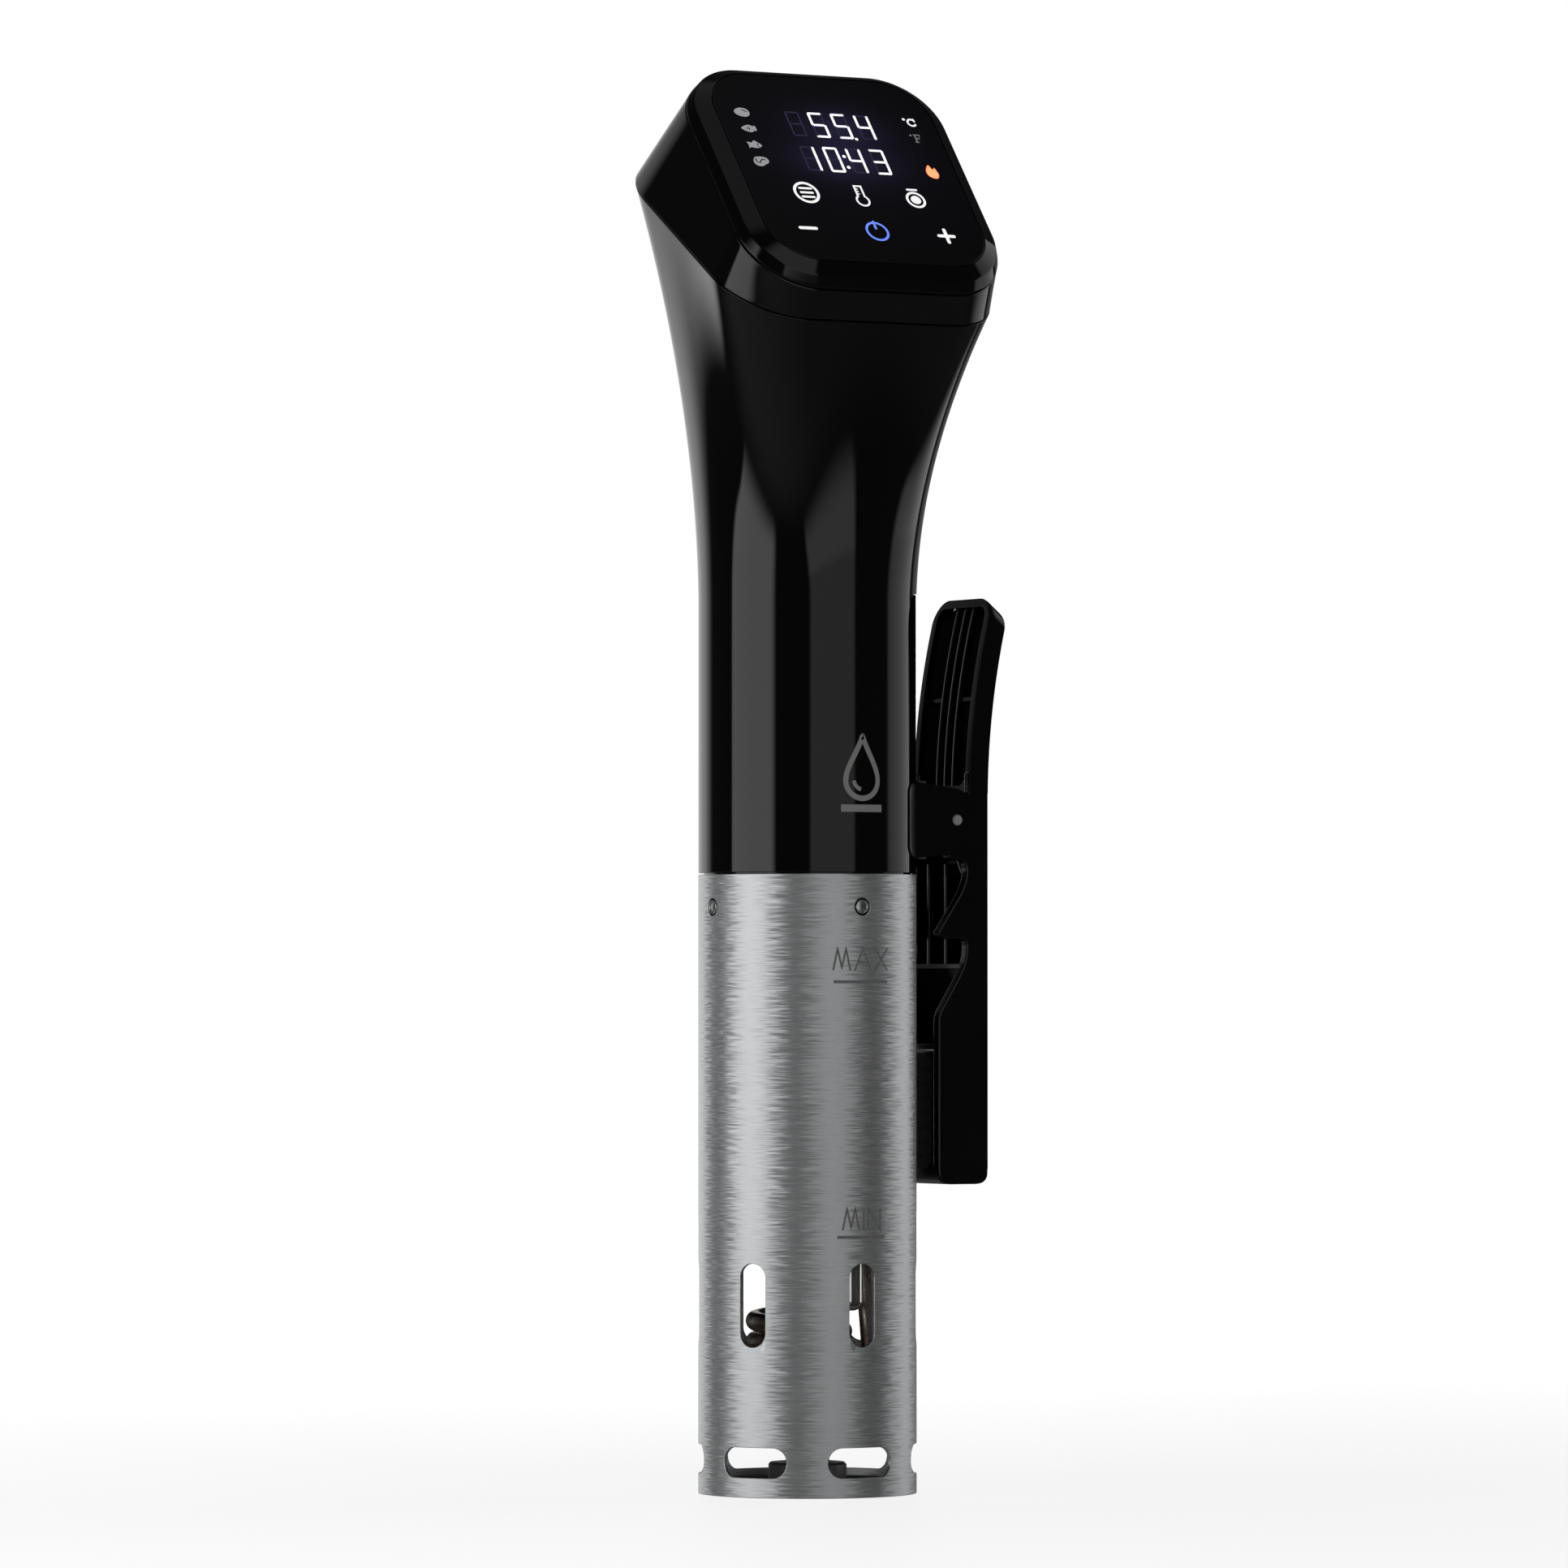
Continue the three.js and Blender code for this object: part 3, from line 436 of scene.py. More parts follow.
def circuit_board(name="circuit_board"):
    """Green solder mask over faint copper runs."""
    material, bsdf, tree = shader(name, Roughness=0.4)
    place = node(tree, "ShaderNodeTexCoord").outputs["Object"]
    cells = node(tree, "ShaderNodeTexBrick", {"Vector": place})
    for socket, value in (("Scale", 260.0), ("Color1", (0.012, 0.11, 0.045, 1)),
                          ("Color2", (0.016, 0.14, 0.06, 1)), ("Mortar", (0.05, 0.2, 0.08, 1))):
        cells.inputs[socket].default_value = value
    feed(tree, bsdf, Base_Color=cells.outputs["Color"])
    return material


MATERIALS = {
    "steel": brushed_steel(),
    "gloss_black": gloss_black(),
    "satin_black": plastic("satin_black", (0.0005, 0.0005, 0.0006), 0.17, 0.03, 0.5),
    "track_black": plastic("track_black", (0.0012, 0.0012, 0.0012), 0.9, 0.2, 0.4, shine=0.0),
    "rubber": plastic("rubber", (0.005, 0.005, 0.005), 0.7, 0.3, 0.35, shine=0.3),
    "screen_glass": screen_glass(),
    "white_plastic": plastic("white_plastic", (0.66, 0.65, 0.6), 0.45, 0.1, 0.6),
    "circuit_board": circuit_board(),
    "brass": metal("brass", (0.55, 0.38, 0.14), 0.3),
    "heater_metal": metal("heater_metal", (0.78, 0.70, 0.62), 0.32, (900, 900, 900), (0.5, 0.43, 0.37)),
    "aluminium": metal("aluminium", (0.6, 0.61, 0.62), 0.4, (200, 200, 2000)),
    "polished_steel": metal("polished_steel", (0.86, 0.86, 0.86), 0.1, (300, 300, 300)),
    "cap_grey": plastic("cap_grey", (0.07, 0.07, 0.07), 0.42, 0.05, 0.5),
    "plain_steel": metal("plain_steel", (0.74, 0.74, 0.74), 0.24, (600, 600, 600)),
    "pin_steel": metal("pin_steel", (0.8, 0.8, 0.8), 0.5, (900, 900, 900)),
}


# ------------------------------------------------------------------ camera and studio
VIEW_AZIMUTH = math.radians(-30)
CAMERA_DISTANCE, CAMERA_Z, FOCAL = 2.3981, 0.13846, 200.2      # metres, metres, mm
AXIS_OFFSET, HORIZON_OFFSET = 0.00268082, 0.02341059           # tangents: the tube axis, the level line
TO_CAMERA = Vector((math.sin(VIEW_AZIMUTH), -math.cos(VIEW_AZIMUTH), 0))
TO_RIGHT = Vector((math.cos(VIEW_AZIMUTH), math.sin(VIEW_AZIMUTH), 0))


def make_camera():
    data = bpy.data.cameras.new("camera")
    data.lens, data.sensor_width, data.clip_start, data.clip_end = FOCAL, 36, 0.05, 60
    camera = placed("camera", data)
    camera.location = TO_CAMERA * CAMERA_DISTANCE + Vector((0, 0, CAMERA_Z))
    ahead = -TO_CAMERA - TO_RIGHT * AXIS_OFFSET + Vector((0, 0, HORIZON_OFFSET))
    camera.rotation_mode = "QUATERNION"
    camera.rotation_quaternion = ahead.to_track_quat("-Z", "Y")
    bpy.context.scene.camera = camera


def strip_light(name, azimuths, radiance, edges=(0.1, 0.1), foot=(-0.36, -0.08), crown=(0.6, 1.4),
                below=1.0, distance=2.0):
    """A tall soft box between two azimuths, in degrees to the right of the camera.

    The radiance is given at the two azimuths, the soft edges as shares of the width, and the foot
    and the crown as the heights over which the light fades in and out. below brightens the part
    that the steel skirt mirrors."""
    z_low, height, skirt_z = foot[0], crown[1] - foot[0], (0.06, 0.13)
    middle, half = sum(azimuths) / 2, (azimuths[1] - azimuths[0]) / 2
    a = math.radians(middle)
    away = TO_CAMERA * math.cos(a) + TO_RIGHT * math.sin(a)
    data = bpy.data.lights.new(name, "AREA")
    data.shape = "RECTANGLE"
    data.size = 2 * distance * math.tan(math.radians(half))
    data.size_y = height
    data.energy = math.pi * data.size * data.size_y
    data.use_nodes = True
    tree = data.node_tree
    across = node(tree, "ShaderNodeSeparateXYZ",
                  {0: node(tree, "ShaderNodeNewGeometry").outputs["Parametric"]})
    level = ramp(tree, across.outputs[0], 0, 1, *radiance)
    fades = [(0, 0.0, edges[0], 0.0, 1.0), (0, 1.0 - edges[1], 1.0, 1.0, 0.0),
             (1, 0.0, (foot[1] - z_low) / height, 0.0, 1.0), (1, (crown[0] - z_low) / height, 1.0, 1.0, 0.0),
             (1, (skirt_z[0] - z_low) / height, (skirt_z[1] - z_low) / height, below, 1.0)]
    for axis, start, end, before, after in fades:
        fade = soft_step(tree, across.outputs[axis], start, end, before, after)
        level = maths(tree, "MULTIPLY", level, fade)
    tree.links.new(level, tree.nodes["Emission"].inputs["Strength"])
    light = placed(name, data)
    light.location = away * distance + Vector((0, 0, z_low + height / 2))
    light.rotation_mode = "QUATERNION"
    light.rotation_quaternion = (-away).to_track_quat("-Z", "Y")
    light.visible_camera = False
    return light


def make_world():
    """White behind the object; it mirrors a dark room over a table that is palest on the left."""
    world = bpy.data.worlds.new("studio")
    bpy.context.scene.world = world
    world.use_nodes = True
    tree = world.node_tree
    way = node(tree, "ShaderNodeTexCoord").outputs["Generated"]
    up = node(tree, "ShaderNodeSeparateXYZ", {0: way}).outputs[2]
    pale = ramp(tree, along(tree, way, TO_RIGHT), -0.8, 0.7, 0.17, 0.05)
    table = maths(tree, "MULTIPLY", soft_step(tree, up, -0.2, -0.45), pale)
    level = maths(tree, "ADD", table, soft_step(tree, up, 0.84, 0.95, 0.03, 0.2))
    level = maths(tree, "MAXIMUM", level, node(tree, "ShaderNodeLightPath").outputs["Is Camera Ray"])
    tree.links.new(level, tree.nodes["Background"].inputs["Strength"])
    tree.nodes["Background"].inputs["Color"].default_value = (1, 1, 1, 1)


def make_floor():
    floor = placed("floor", box("floor", (-9000, 9000), (-9000, 9000), (-20, -0.2)))
    material, bsdf, tree = shader("pale_floor", Roughness=0.6, Base_Color=(0.5, 0.5, 0.5, 1))
    away = node(tree, "ShaderNodeTexCoord").outputs["Object"]
    away = node(tree, "ShaderNodeVectorMath", {0: away}, operation="LENGTH").outputs["Value"]
    feed(tree, bsdf, Emission_Strength=ramp(tree, away, 0.1, 1.5, 0.80, 1.03))
    bsdf.inputs["Emission Color"].default_value = (1, 1, 1, 1)
    floor.data.materials.append(material)
    floor.visible_glossy = floor.visible_shadow = False


def make_studio():
    strip_light("key_strip", (-88, -32), (1.45, 1.45), (0.08, 0.15), crown=(0.5, 1.1))
    strip_light("front_strip", (1, 53), (0.43, 0.42), (0.1, 0.1), crown=(1.9, 2.7), below=1.5)
    strip_light("side_strip", (91, 138), (0.36, 0.85), (0.14, 0.05), crown=(1.2, 2.2), below=1.3)
    strip_light("back_left", (-184, -118), (0.72, 1.1), (0.02, 0.36), below=1.3, distance=2.6)
    strip_light("back_right", (144, 186), (0.14, 0.14), crown=(0.45, 1.0), distance=2.6)
    make_world()
    make_floor()
    bpy.context.scene.view_settings.view_transform = "Standard"


make_camera()
make_studio()


# ------------------------------------------------------------------ steel skirt
def capsule(width, height, grow, steps=14):
    """A slot's outline: a rounded rectangle whose short sides are full rounds, in short steps."""
    hx, hy = width / 2 + grow, height / 2 + grow
    corners = [Vector(p) for p in rounded(hx, hy, min(hx, hy) - 0.02, steps)]
    outline = []
    for a, b in zip(corners, corners[1:] + corners[:1]):
        count = max(1, round((b - a).length))
        outline += [tuple(a.lerp(b, k / count)) for k in range(count)]
    return outline


def skirt_tube():
    """The slotted tube, unrolled flat as (s, z), triangulated, given its thickness, and rolled up."""
    length = 2 * math.pi * TUBE_R
    soft = 0.16                                     # rounding of the edges of rims and holes
    columns, rows = 180, 57
    start = math.radians(60)                        # the seam where the sheet meets itself
    holes = []
    for k in range(SLOT_COUNT):
        s = (math.radians(-90 + 60 * k) - start) % (2 * math.pi) * TUBE_R
        holes += [(s, TALL_SLOT["z"], lambda g: capsule(TALL_SLOT["width"], TALL_SLOT["height"], g)),
                  (s, WIDE_SLOT["z"], lambda g: capsule(WIDE_SLOT["width"], WIDE_SLOT["height"], g))]
    for k in range(4):
        s = (math.radians(90 * k) - start) % (2 * math.pi) * TUBE_R
        holes.append((s, SCREW_Z, lambda g: rounded(SCREW_HOLE_R + g, SCREW_HOLE_R + g,
                                                    SCREW_HOLE_R + g - 0.02, 8)))

    sizes = [(cs, cz, max(p[0] for p in outline(0.0)), max(p[1] for p in outline(0.0)))
             for cs, cz, outline in holes]
    levels = [(0.0, soft), (0.3 * soft, 0.3 * soft), (soft, 0.0), (SKIRT_WALL - soft, 0.0),
              (SKIRT_WALL - 0.3 * soft, 0.3 * soft), (SKIRT_WALL, soft)]   # depth, growth of a hole
    verts, faces = [], []

    def add(points, depth):
        first = len(verts)
        verts.extend((s, z, depth) for s, z in points)
        return first

    def inside_hole(point, grow):
        for cs, cz, hx, hy in sizes:
            r = min(hx, hy)
            qx = max(abs(point[0] - cs) - (hx - r), 0)
            qy = max(abs(point[1] - cz) - (hy - r), 0)
            if math.hypot(qx, qy) < r + grow - 0.01:
                return True
        return False

    def sheet(depth, grow):
        low, high = grow, SKIRT_TOP - grow
        heights = [low + (high - low) * j / rows for j in range(rows + 1)]
        grid = [(length * i / columns, z) for i in range(columns + 1) for z in heights]
        points = [p for p in grid if p[0] in (0.0, length) or p[1] in (low, high)
                  or not inside_hole(p, grow + 0.5)]
        edges = []
        for axis, limit in ((1, low), (1, high), (0, 0.0), (0, length)):
            chain = [i for i, p in enumerate(points) if p[axis] == limit]
            edges += list(zip(chain, chain[1:]))
        for cs, cz, outline in holes:
            first = len(points)
            ring = [(cs + u, cz + v) for u, v in outline(grow)]
            points += ring
            edges += [(first + k, first + (k + 1) % len(ring)) for k in range(len(ring))]
        made = delaunay_2d_cdt([Vector(p) for p in points], edges, [], 0, 1e-5)
        first = add([tuple(p) for p in made[0]], depth)
        for face in made[2]:
            middle = sum((made[0][i] for i in face), Vector((0, 0))) / len(face)
            if not inside_hole(middle, grow):
                faces.append(tuple(first + i for i in face))

    sheet(*levels[0])
    sheet(*levels[-1])
    for cs, cz, outline in holes:
        rings = [add([(cs + u, cz + v) for u, v in outline(grow)], depth) for depth, grow in levels]
        n = len(outline(0.0))
        for a, b in zip(rings, rings[1:]):
            faces.extend((a + k, a + (k + 1) % n, b + (k + 1) % n, b + k) for k in range(n))
    for at_top in (False, True):
        rims = [add([(length * i / columns, SKIRT_TOP - grow if at_top else grow)
                     for i in range(columns + 1)], depth) for depth, grow in levels]
        for a, b in zip(rims, rims[1:]):
            faces.extend((a + k, a + k + 1, b + k + 1, b + k) for k in range(columns))

    rolled = []
    for s, z, depth in verts:
        a = start + s / TUBE_R
        rolled.append(((TUBE_R - depth) * math.cos(a), (TUBE_R - depth) * math.sin(a), z))
    return new_mesh("skirt_tube_hi", rolled, faces)


def ribs_of(points, width, closed=False, round_ends=False):
    """Pairs of points either side of a path, for a stroke of constant width."""
    p = [Vector(q) for q in points]
    n, half, out = len(p), width / 2, []
    for i, q in enumerate(p):
        before = (q - p[i - 1]).normalized() if closed or i else None
        after = (p[(i + 1) % n] - q).normalized() if closed or i < n - 1 else None
        before, after = before or after, after or before
        along = (before + after).normalized()
        normal = Vector((-along.y, along.x))
        reach = half / max(0.35, normal.dot(Vector((-after.y, after.x))))
        out.append((q + normal * reach, q - normal * reach))
    if round_ends and not closed:
        for at_start in (True, False):
            q = p[0] if at_start else p[-1]
            along = (p[0] - p[1] if at_start else p[-1] - p[-2]).normalized()
            normal = Vector((-along.y, along.x)) * (-1 if at_start else 1)
            cap = []
            for k in range(1, 5):
                a = math.radians(86 * k / 4)
                centre = q + along * half * math.sin(a)
                cap.append((centre + normal * half * math.cos(a), centre - normal * half * math.cos(a)))
            out = cap[::-1] + out if at_start else out + cap
    return out


def strokes_mesh(name, strokes, place, low, high, step=None):
    """Thin raised strokes. Each is (points, width, closed, round_ends); place(u, v, h) puts them."""
    verts, faces = [], []
    for points, width, closed, round_ends in strokes:
        path = [Vector(p) for p in points]
        if step:
            fine = []
            pairs = list(zip(path, path[1:] + path[:1])) if closed else list(zip(path, path[1:]))
            for a, b in pairs:
                count = max(1, math.ceil((b - a).length / step))
                fine += [a.lerp(b, k / count) for k in range(count)]
            path = fine if closed else fine + [path[-1]]
        ribs = ribs_of(path, width, closed, round_ends)
        first = len(verts)
        for left, right in ribs:
            verts += [place(*left, high), place(*right, high), place(*right, low), place(*left, low)]
        n = len(ribs)
        for i in range(n if closed else n - 1):
            a, b = first + 4 * i, first + 4 * ((i + 1) % n)
            faces += [(a + k, a + (k + 1) % 4, b + (k + 1) % 4, b + k) for k in range(4)]
        if not closed:
            faces += [(first, first + 1, first + 2, first + 3),
                      tuple(first + 4 * (n - 1) + k for k in range(4))]
    return new_mesh(name, verts, faces)


def on_tube(u, v, height):
    """A point on the front of the tube: u across to the right, v up, height out of its surface."""
    a = math.radians(-90) + u / TUBE_R
    return ((TUBE_R + height) * math.cos(a), (TUBE_R + height) * math.sin(a), v)


def level_marks():
    """MAX and MIN, drawn as straight strokes, each over its own line."""
    letters = {
        "M": (4.9, [[(0, 0), (0.25, 1), (0.5, 0.12), (0.75, 1), (1, 0)]]),
        "A": (5.0, [[(0, 0), (0.5, 1), (1, 0)], [(0.19, 0.38), (0.81, 0.38)]]),
        "X": (4.6, [[(0, 0), (1, 1)], [(0, 1), (1, 0)]]),
        "I": (0.0, [[(0, 0), (0, 1)]]),
        "N": (4.2, [[(0, 0), (0, 1), (1, 0), (1, 1)]]),
    }
    stroke, letter_height, spacing = 0.55, 5.9, 1.15
    for word, base, line_z in (("MAX", 143.3, 140.2), ("MIN", 72.7, 70.8)):
        width = sum(letters[c][0] for c in word) + spacing * (len(word) - 1) * 1.2
        u, strokes = -width / 2, []
        for c in word:
            wide, paths = letters[c]
            strokes += [([(u + x * wide, base + y * letter_height) for x, y in path], stroke, False, False)
                        for path in paths]
            u += wide + spacing * 1.2
        strokes.append(([(-8.5 if word == "MAX" else -7.5, line_z),
                         (8.5 if word == "MAX" else 7.5, line_z)], 0.85, False, False))
        mesh = strokes_mesh("level_mark_" + word.lower(), strokes, on_tube, -0.02, 0.015, step=0.8)
        add_piece(mesh.name, mesh, MARKS["etched"], HOUSING, "steel")


MARKS = {
    "etched": printed("etched_mark", (0.105, 0.107, 0.11), 0.55),
    "grey": printed("grey_print", (0.17, 0.17, 0.165), 0.45),
    "icon_grey": lit("icon_grey", (0.30, 0.30, 0.31), 1.0),
    "icon_dim": lit("icon_dim", (0.15, 0.15, 0.16), 1.0),
    "white": lit("icon_white", (0.93, 0.94, 0.93), 1.0),
    "digit": lit("digit_white", (0.93, 0.92, 1.0), 1.15),
    "ghost": lit("digit_unlit", (0.050, 0.042, 0.13), 0.27),
    "blue": lit("power_blue", (0.16, 0.27, 1.0), 1.05),
    "flame": lit("flame_orange", (1.0, 0.50, 0.22), 1.0),
    "flame_edge": lit("flame_edge", (0.85, 0.07, 0.02), 0.9),
}


def skirt_screw(angle):
    """A flush screw in the tube's wall: a smooth face inside a raised ring with rounded flanks."""
    profile = [(0.02, 24.2), (1.25, 24.8), (1.25, 28.6), (1.9, 29.2), *arc(1.74, 29.76, 0.2, -30, 210, 10),
               (1.3, 29.72), (0.8, 29.78), (0.02, 29.8)]
    turn = Matrix.Rotation(math.radians(angle), 4, "Z") @ Matrix.Rotation(math.pi / 2, 4, "Y")
    return moved(turned("screw", profile, 40), Matrix.Translation((0, 0, SCREW_Z)) @ turn)


def make_skirt():
    stand_in("skirt_tube", skirt_tube(), "steel", "steel", round_tube=(TUBE_R - SKIRT_WALL, TUBE_R))
    for k, side in enumerate(("right", "back", "left", "front")):
        stand_in(f"skirt_screw_{side}", skirt_screw(90 * k), "plain_steel", "steel")
    level_marks()


# ------------------------------------------------------------------ body shell
def seam_radius(angle, inset):
    """Distance from the tube axis to the head seam's outline, in plan, along one direction."""
    cy = (SEAM["y_min"] + SEAM["y_max"]) / 2
    hx = SEAM["hx"] - SEAM["r"]
    hy = (SEAM["y_max"] - SEAM["y_min"]) / 2 - SEAM["r"]
    low, high = 10.0, 80.0
    for _ in range(40):
        mid = (low + high) / 2
        qx = max(abs(mid * math.cos(angle)) - hx, 0)
        qy = max(abs(mid * math.sin(angle) - cy) - hy, 0)
        if math.hypot(qx, qy) > SEAM["r"] - inset:
            high = mid
        else:
            low = mid
    return low


def seam_z(y):
    return SEAM["z"] + SEAM["slope"] * (y - SEAM["y_min"])


def flare_ring(u, base_r, inset, lift=0.0):
    ring = []
    for k in range(AROUND):
        a = 2 * math.pi * k / AROUND
        top = seam_radius(a, inset)
        r = base_r + (top - base_r) * u ** FLARE_POWER
        z = FLARE_Z + u * (seam_z(top * math.sin(a)) + lift - FLARE_Z)
        ring.append((r * math.cos(a), r * math.sin(a), z))
    return ring


def circle(radius, z):
    return [(x, y, z) for x, y in round_outline(0, 0, radius, AROUND)]


def sector(name, r0, r1, half_angle, z0, z1, steps=64):
    """Part of a tube's wall about Z, centred on +X."""
    outline = arc(0, 0, r1, -half_angle, half_angle, steps) + arc(0, 0, r0, half_angle, -half_angle, steps)
    return prism(name, outline, "z", z0, z1)


def body_shell():
    rows = [k / 44 for k in range(45)]
    flare = [flare_ring(u, TUBE_R, SEAM["inset"], -HALF_SEAM) for u in rows]
    land = flare_ring(1.0, TUBE_R, SEAM["inset"] + 1.0, -HALF_SEAM)
    lip = rounded_edge(flare[-2], flare[-1], land, 0.2)
    rebate = [land, flare_ring(1.0, TUBE_R, SEAM["inset"] + 1.0, -1.7),
              flare_ring(1.0, TUBE_R, SEAM["inset"] + 3.0, -1.7)]
    inner = [flare_ring(u, 27.0, SEAM["inset"] + 3.0, -1.7) for u in reversed(rows[:-1:4])]
    foot = rounded_edge(circle(28.5, BODY_BOTTOM), circle(TUBE_R, BODY_BOTTOM), circle(TUBE_R, 171), 0.22)
    grip = [circle(TUBE_R, z) for z in (171, 180, 195, 210, 225, 236)]
    shell = loft("body_shell_hi", [circle(28.5, 150), circle(28.5, BODY_BOTTOM), *foot, *grip, *flare[:-1],
                                   *lip, *rebate, *inner, circle(27.0, 174), circle(26.1, 173),
                                   circle(26.1, 150)])
    recess = sector("recess", 28.6, 33, PAD_HALF_ANGLE + 0.45, BODY_BOTTOM - 0.3, PAD_TOP + 0.3)
    corner = recess_outline("corner", 0.35)
    recess = boolean(recess, [corner], "INTERSECT")
    gland_hole = moved(turned("hole", [(6.3, -8), (6.3, 22)], 48), GLAND_PLACE)
    return boolean(shell, [recess, gland_hole], "DIFFERENCE")


def recess_outline(name, grow):
    """The track's outline seen along X, with long rounded shoulders."""
    half, drop = 23.2 + grow, 10.0
    shoulder = [(half - 3 + 3 * math.cos(math.radians(9 * k)),
                 PAD_TOP + grow - drop + drop * math.sin(math.radians(9 * k))) for k in range(11)]
    outline = [(-half, 160), (half, 160), *shoulder, *[(-y, z) for y, z in reversed(shoulder)]]
    return prism(name, outline, "x", 10, 40)


GLAND_PLACE = Matrix.Translation((0, 24, 336)) @ Matrix.Rotation(-math.pi / 2, 4, "X")


def make_body():
    stand_in("body_shell", body_shell(), "gloss_black", "gloss_black")
    pad = sector("clamp_track_hi", 28.9, 29.85, PAD_HALF_ANGLE, BODY_BOTTOM, PAD_TOP)
    pad = bevelled(boolean(pad, [recess_outline("trim", 0.0)], "INTERSECT"), 0.18, 2, 40)
    add_piece("clamp_track_hi", pad, MATERIALS["track_black"], HOUSING, "satin_black", ["clamp_track_pad"])

    rings = [(3.6, -1), (6.0, -1), (6.0, 9.0), (7.4, 9.4), (7.6, 9.9), (7.6, 10.9), (7.3, 11.4),
             (6.2, 11.6), (5.6, 12.9), (5.2, 13.4), (4.0, 13.5), (3.6, 13.1)]
    gland = moved(turned("cord_gland_hi", rings, 48, closed=True), GLAND_PLACE)
    stand_in("cord_gland", gland, "rubber", "rubber")
    make_drop_mark()


def make_drop_mark():
    """A plain water drop over a short bar, printed in warm grey on the grip."""
    centre_z, low, tip = 198.3, 6.4, 11.2
    drop = []
    for k in range(64):
        a = 2 * math.pi * k / 64
        pull = (0.5 + 0.5 * math.sin(a)) ** 3.2
        drop.append((5.4 * math.cos(a) * (1 - 0.86 * pull),
                     centre_z - 2.6 + 5.6 * math.sin(a) + (tip - low + 0.8) * pull))
    gleam = [(-2.7 * math.cos(math.radians(a)), centre_z - 2.9 - 2.9 * math.sin(math.radians(a)))
             for a in range(10, 81, 10)]
    strokes = [(drop, 1.5, True, False), (gleam, 1.1, False, False),
               ([(-6.4, 187.4), (6.4, 187.4)], 2.0, False, False)]
    mesh = strokes_mesh("grip_drop_mark", strokes, on_tube, -0.02, 0.02, step=0.7)
    add_piece("grip_drop_mark", mesh, MARKS["grey"], HOUSING, "gloss_black")


# ------------------------------------------------------------------ head
def on_panel(x, v, height=0.0):
    """A point of the panel: x across, v up the slope, height out of the glass."""
    c, s = math.cos(PANEL["tilt"]), math.sin(PANEL["tilt"])
    return (x, PANEL["y"] + v * c - height * s, PANEL["z"] + v * s + height * c)


def panel_ring(hx, hv, r, depth, shift=0.0):
    return [on_panel(x, v + shift, -depth) for x, v in rounded(hx, hv, r)]


def seam_ring(inset, lift):
    cy = (SEAM["y_min"] + SEAM["y_max"]) / 2
    hy = (SEAM["y_max"] - SEAM["y_min"]) / 2 - inset
    return [(x, y + cy, seam_z(y + cy) + lift) for x, y in rounded(SEAM["hx"] - inset, hy, SEAM["r"] - inset)]


def between(a, b, t):
    return [tuple(p + (q - p) * t for p, q in zip(m, n)) for m, n in zip(a, b)]


def rounded_edge(before, edge, after, reach, steps=4):
    """Rings that take the edge between two skins round an arc of the given reach."""
    rings = []
    for k in range(steps + 1):
        t, ring = k / steps, []
        for a, c, b in zip(before, edge, after):
            a, c, b = Vector(a), Vector(c), Vector(b)
            p, q = c + (a - c).normalized() * reach, c + (b - c).normalized() * reach
            ring.append(tuple(p.lerp(c, t).lerp(c.lerp(q, t), t)))
        rings.append(ring)
    return rings


def head_shell():
    """A wall from the sloping seam up to the bezel, with a tongue below and a rebate above."""
    b = BEZEL_BASE

    def crown(inset, depth):
        return panel_ring(b["hx"] - inset, b["hv"] - inset, b["r"] - inset, b["depth"] + depth, b["shift"])
    out = SEAM["inset"]
    sole, base = seam_ring(out + 1.1, HALF_SEAM), seam_ring(out, HALF_SEAM)
    top, land = crown(0.0, HALF_SEAM), crown(1.0, HALF_SEAM)
    wall = [between(base, top, k / 10) for k in range(1, 10)]
    rings = [seam_ring(out + 1.1, -1.5), sole, *rounded_edge(sole, base, top, 0.2), *wall,
             *rounded_edge(base, top, land, 0.4), land, crown(1.0, 1.6), crown(2.4, 1.6),
             seam_ring(out + 2.6, 1.5), seam_ring(out + 2.6, -1.5)]
    return loft("head_shell_hi", rings)


def bezel():
    """The glass's frame: a low wall, a crisp crest, a sloping face and the glass's seat."""
    b, c, g = BEZEL_BASE, BEVEL, GLASS
    floor = b["depth"] - HALF_SEAM

    def base(inset, depth):
        return panel_ring(b["hx"] - inset, b["hv"] - inset, b["r"] - inset, depth, b["shift"])

    def seat(depth):
        return panel_ring(g["hx"] + GAP, g["hv"] + GAP, g["r"] + GAP, depth)
    sole, foot, crest = base(1.1, floor), base(0.0, floor), panel_ring(c["hx"], c["hv"], c["r"], c["depth"])
    rings = [base(1.1, floor + 1.5), sole, *rounded_edge(sole, foot, crest, 0.4)]
    rings += [between(foot, crest, t) for t in (0.3, 0.6)]
    rings += rounded_edge(foot, crest, seat(0.0), 0.3)
    rings += [between(crest, seat(0.0), t) for t in (0.35, 0.7)]
    rings += rounded_edge(crest, seat(0.0), seat(1.3), 0.12, 3)
    rings += [seat(1.3), panel_ring(31.5, 32, 11.5, 1.3), panel_ring(31.5, 32, 11.5, floor), base(2.3, floor),
              base(2.3, floor + 1.5)]
    return loft("bezel_hi", rings)


def glass():
    g = GLASS
    rings = [panel_ring(g["hx"], g["hv"], g["r"], g["thick"]), panel_ring(g["hx"], g["hv"], g["r"], 0.22)]
    for k in range(1, 5):
        a = math.radians(90 * k / 4)
        inset = 0.2 * (1 - math.cos(a))
        rings.append(panel_ring(g["hx"] - inset, g["hv"] - inset, g["r"] - inset, 0.2 * (1 - math.sin(a))))
    return loft("glass_panel_hi", rings, wall=False)


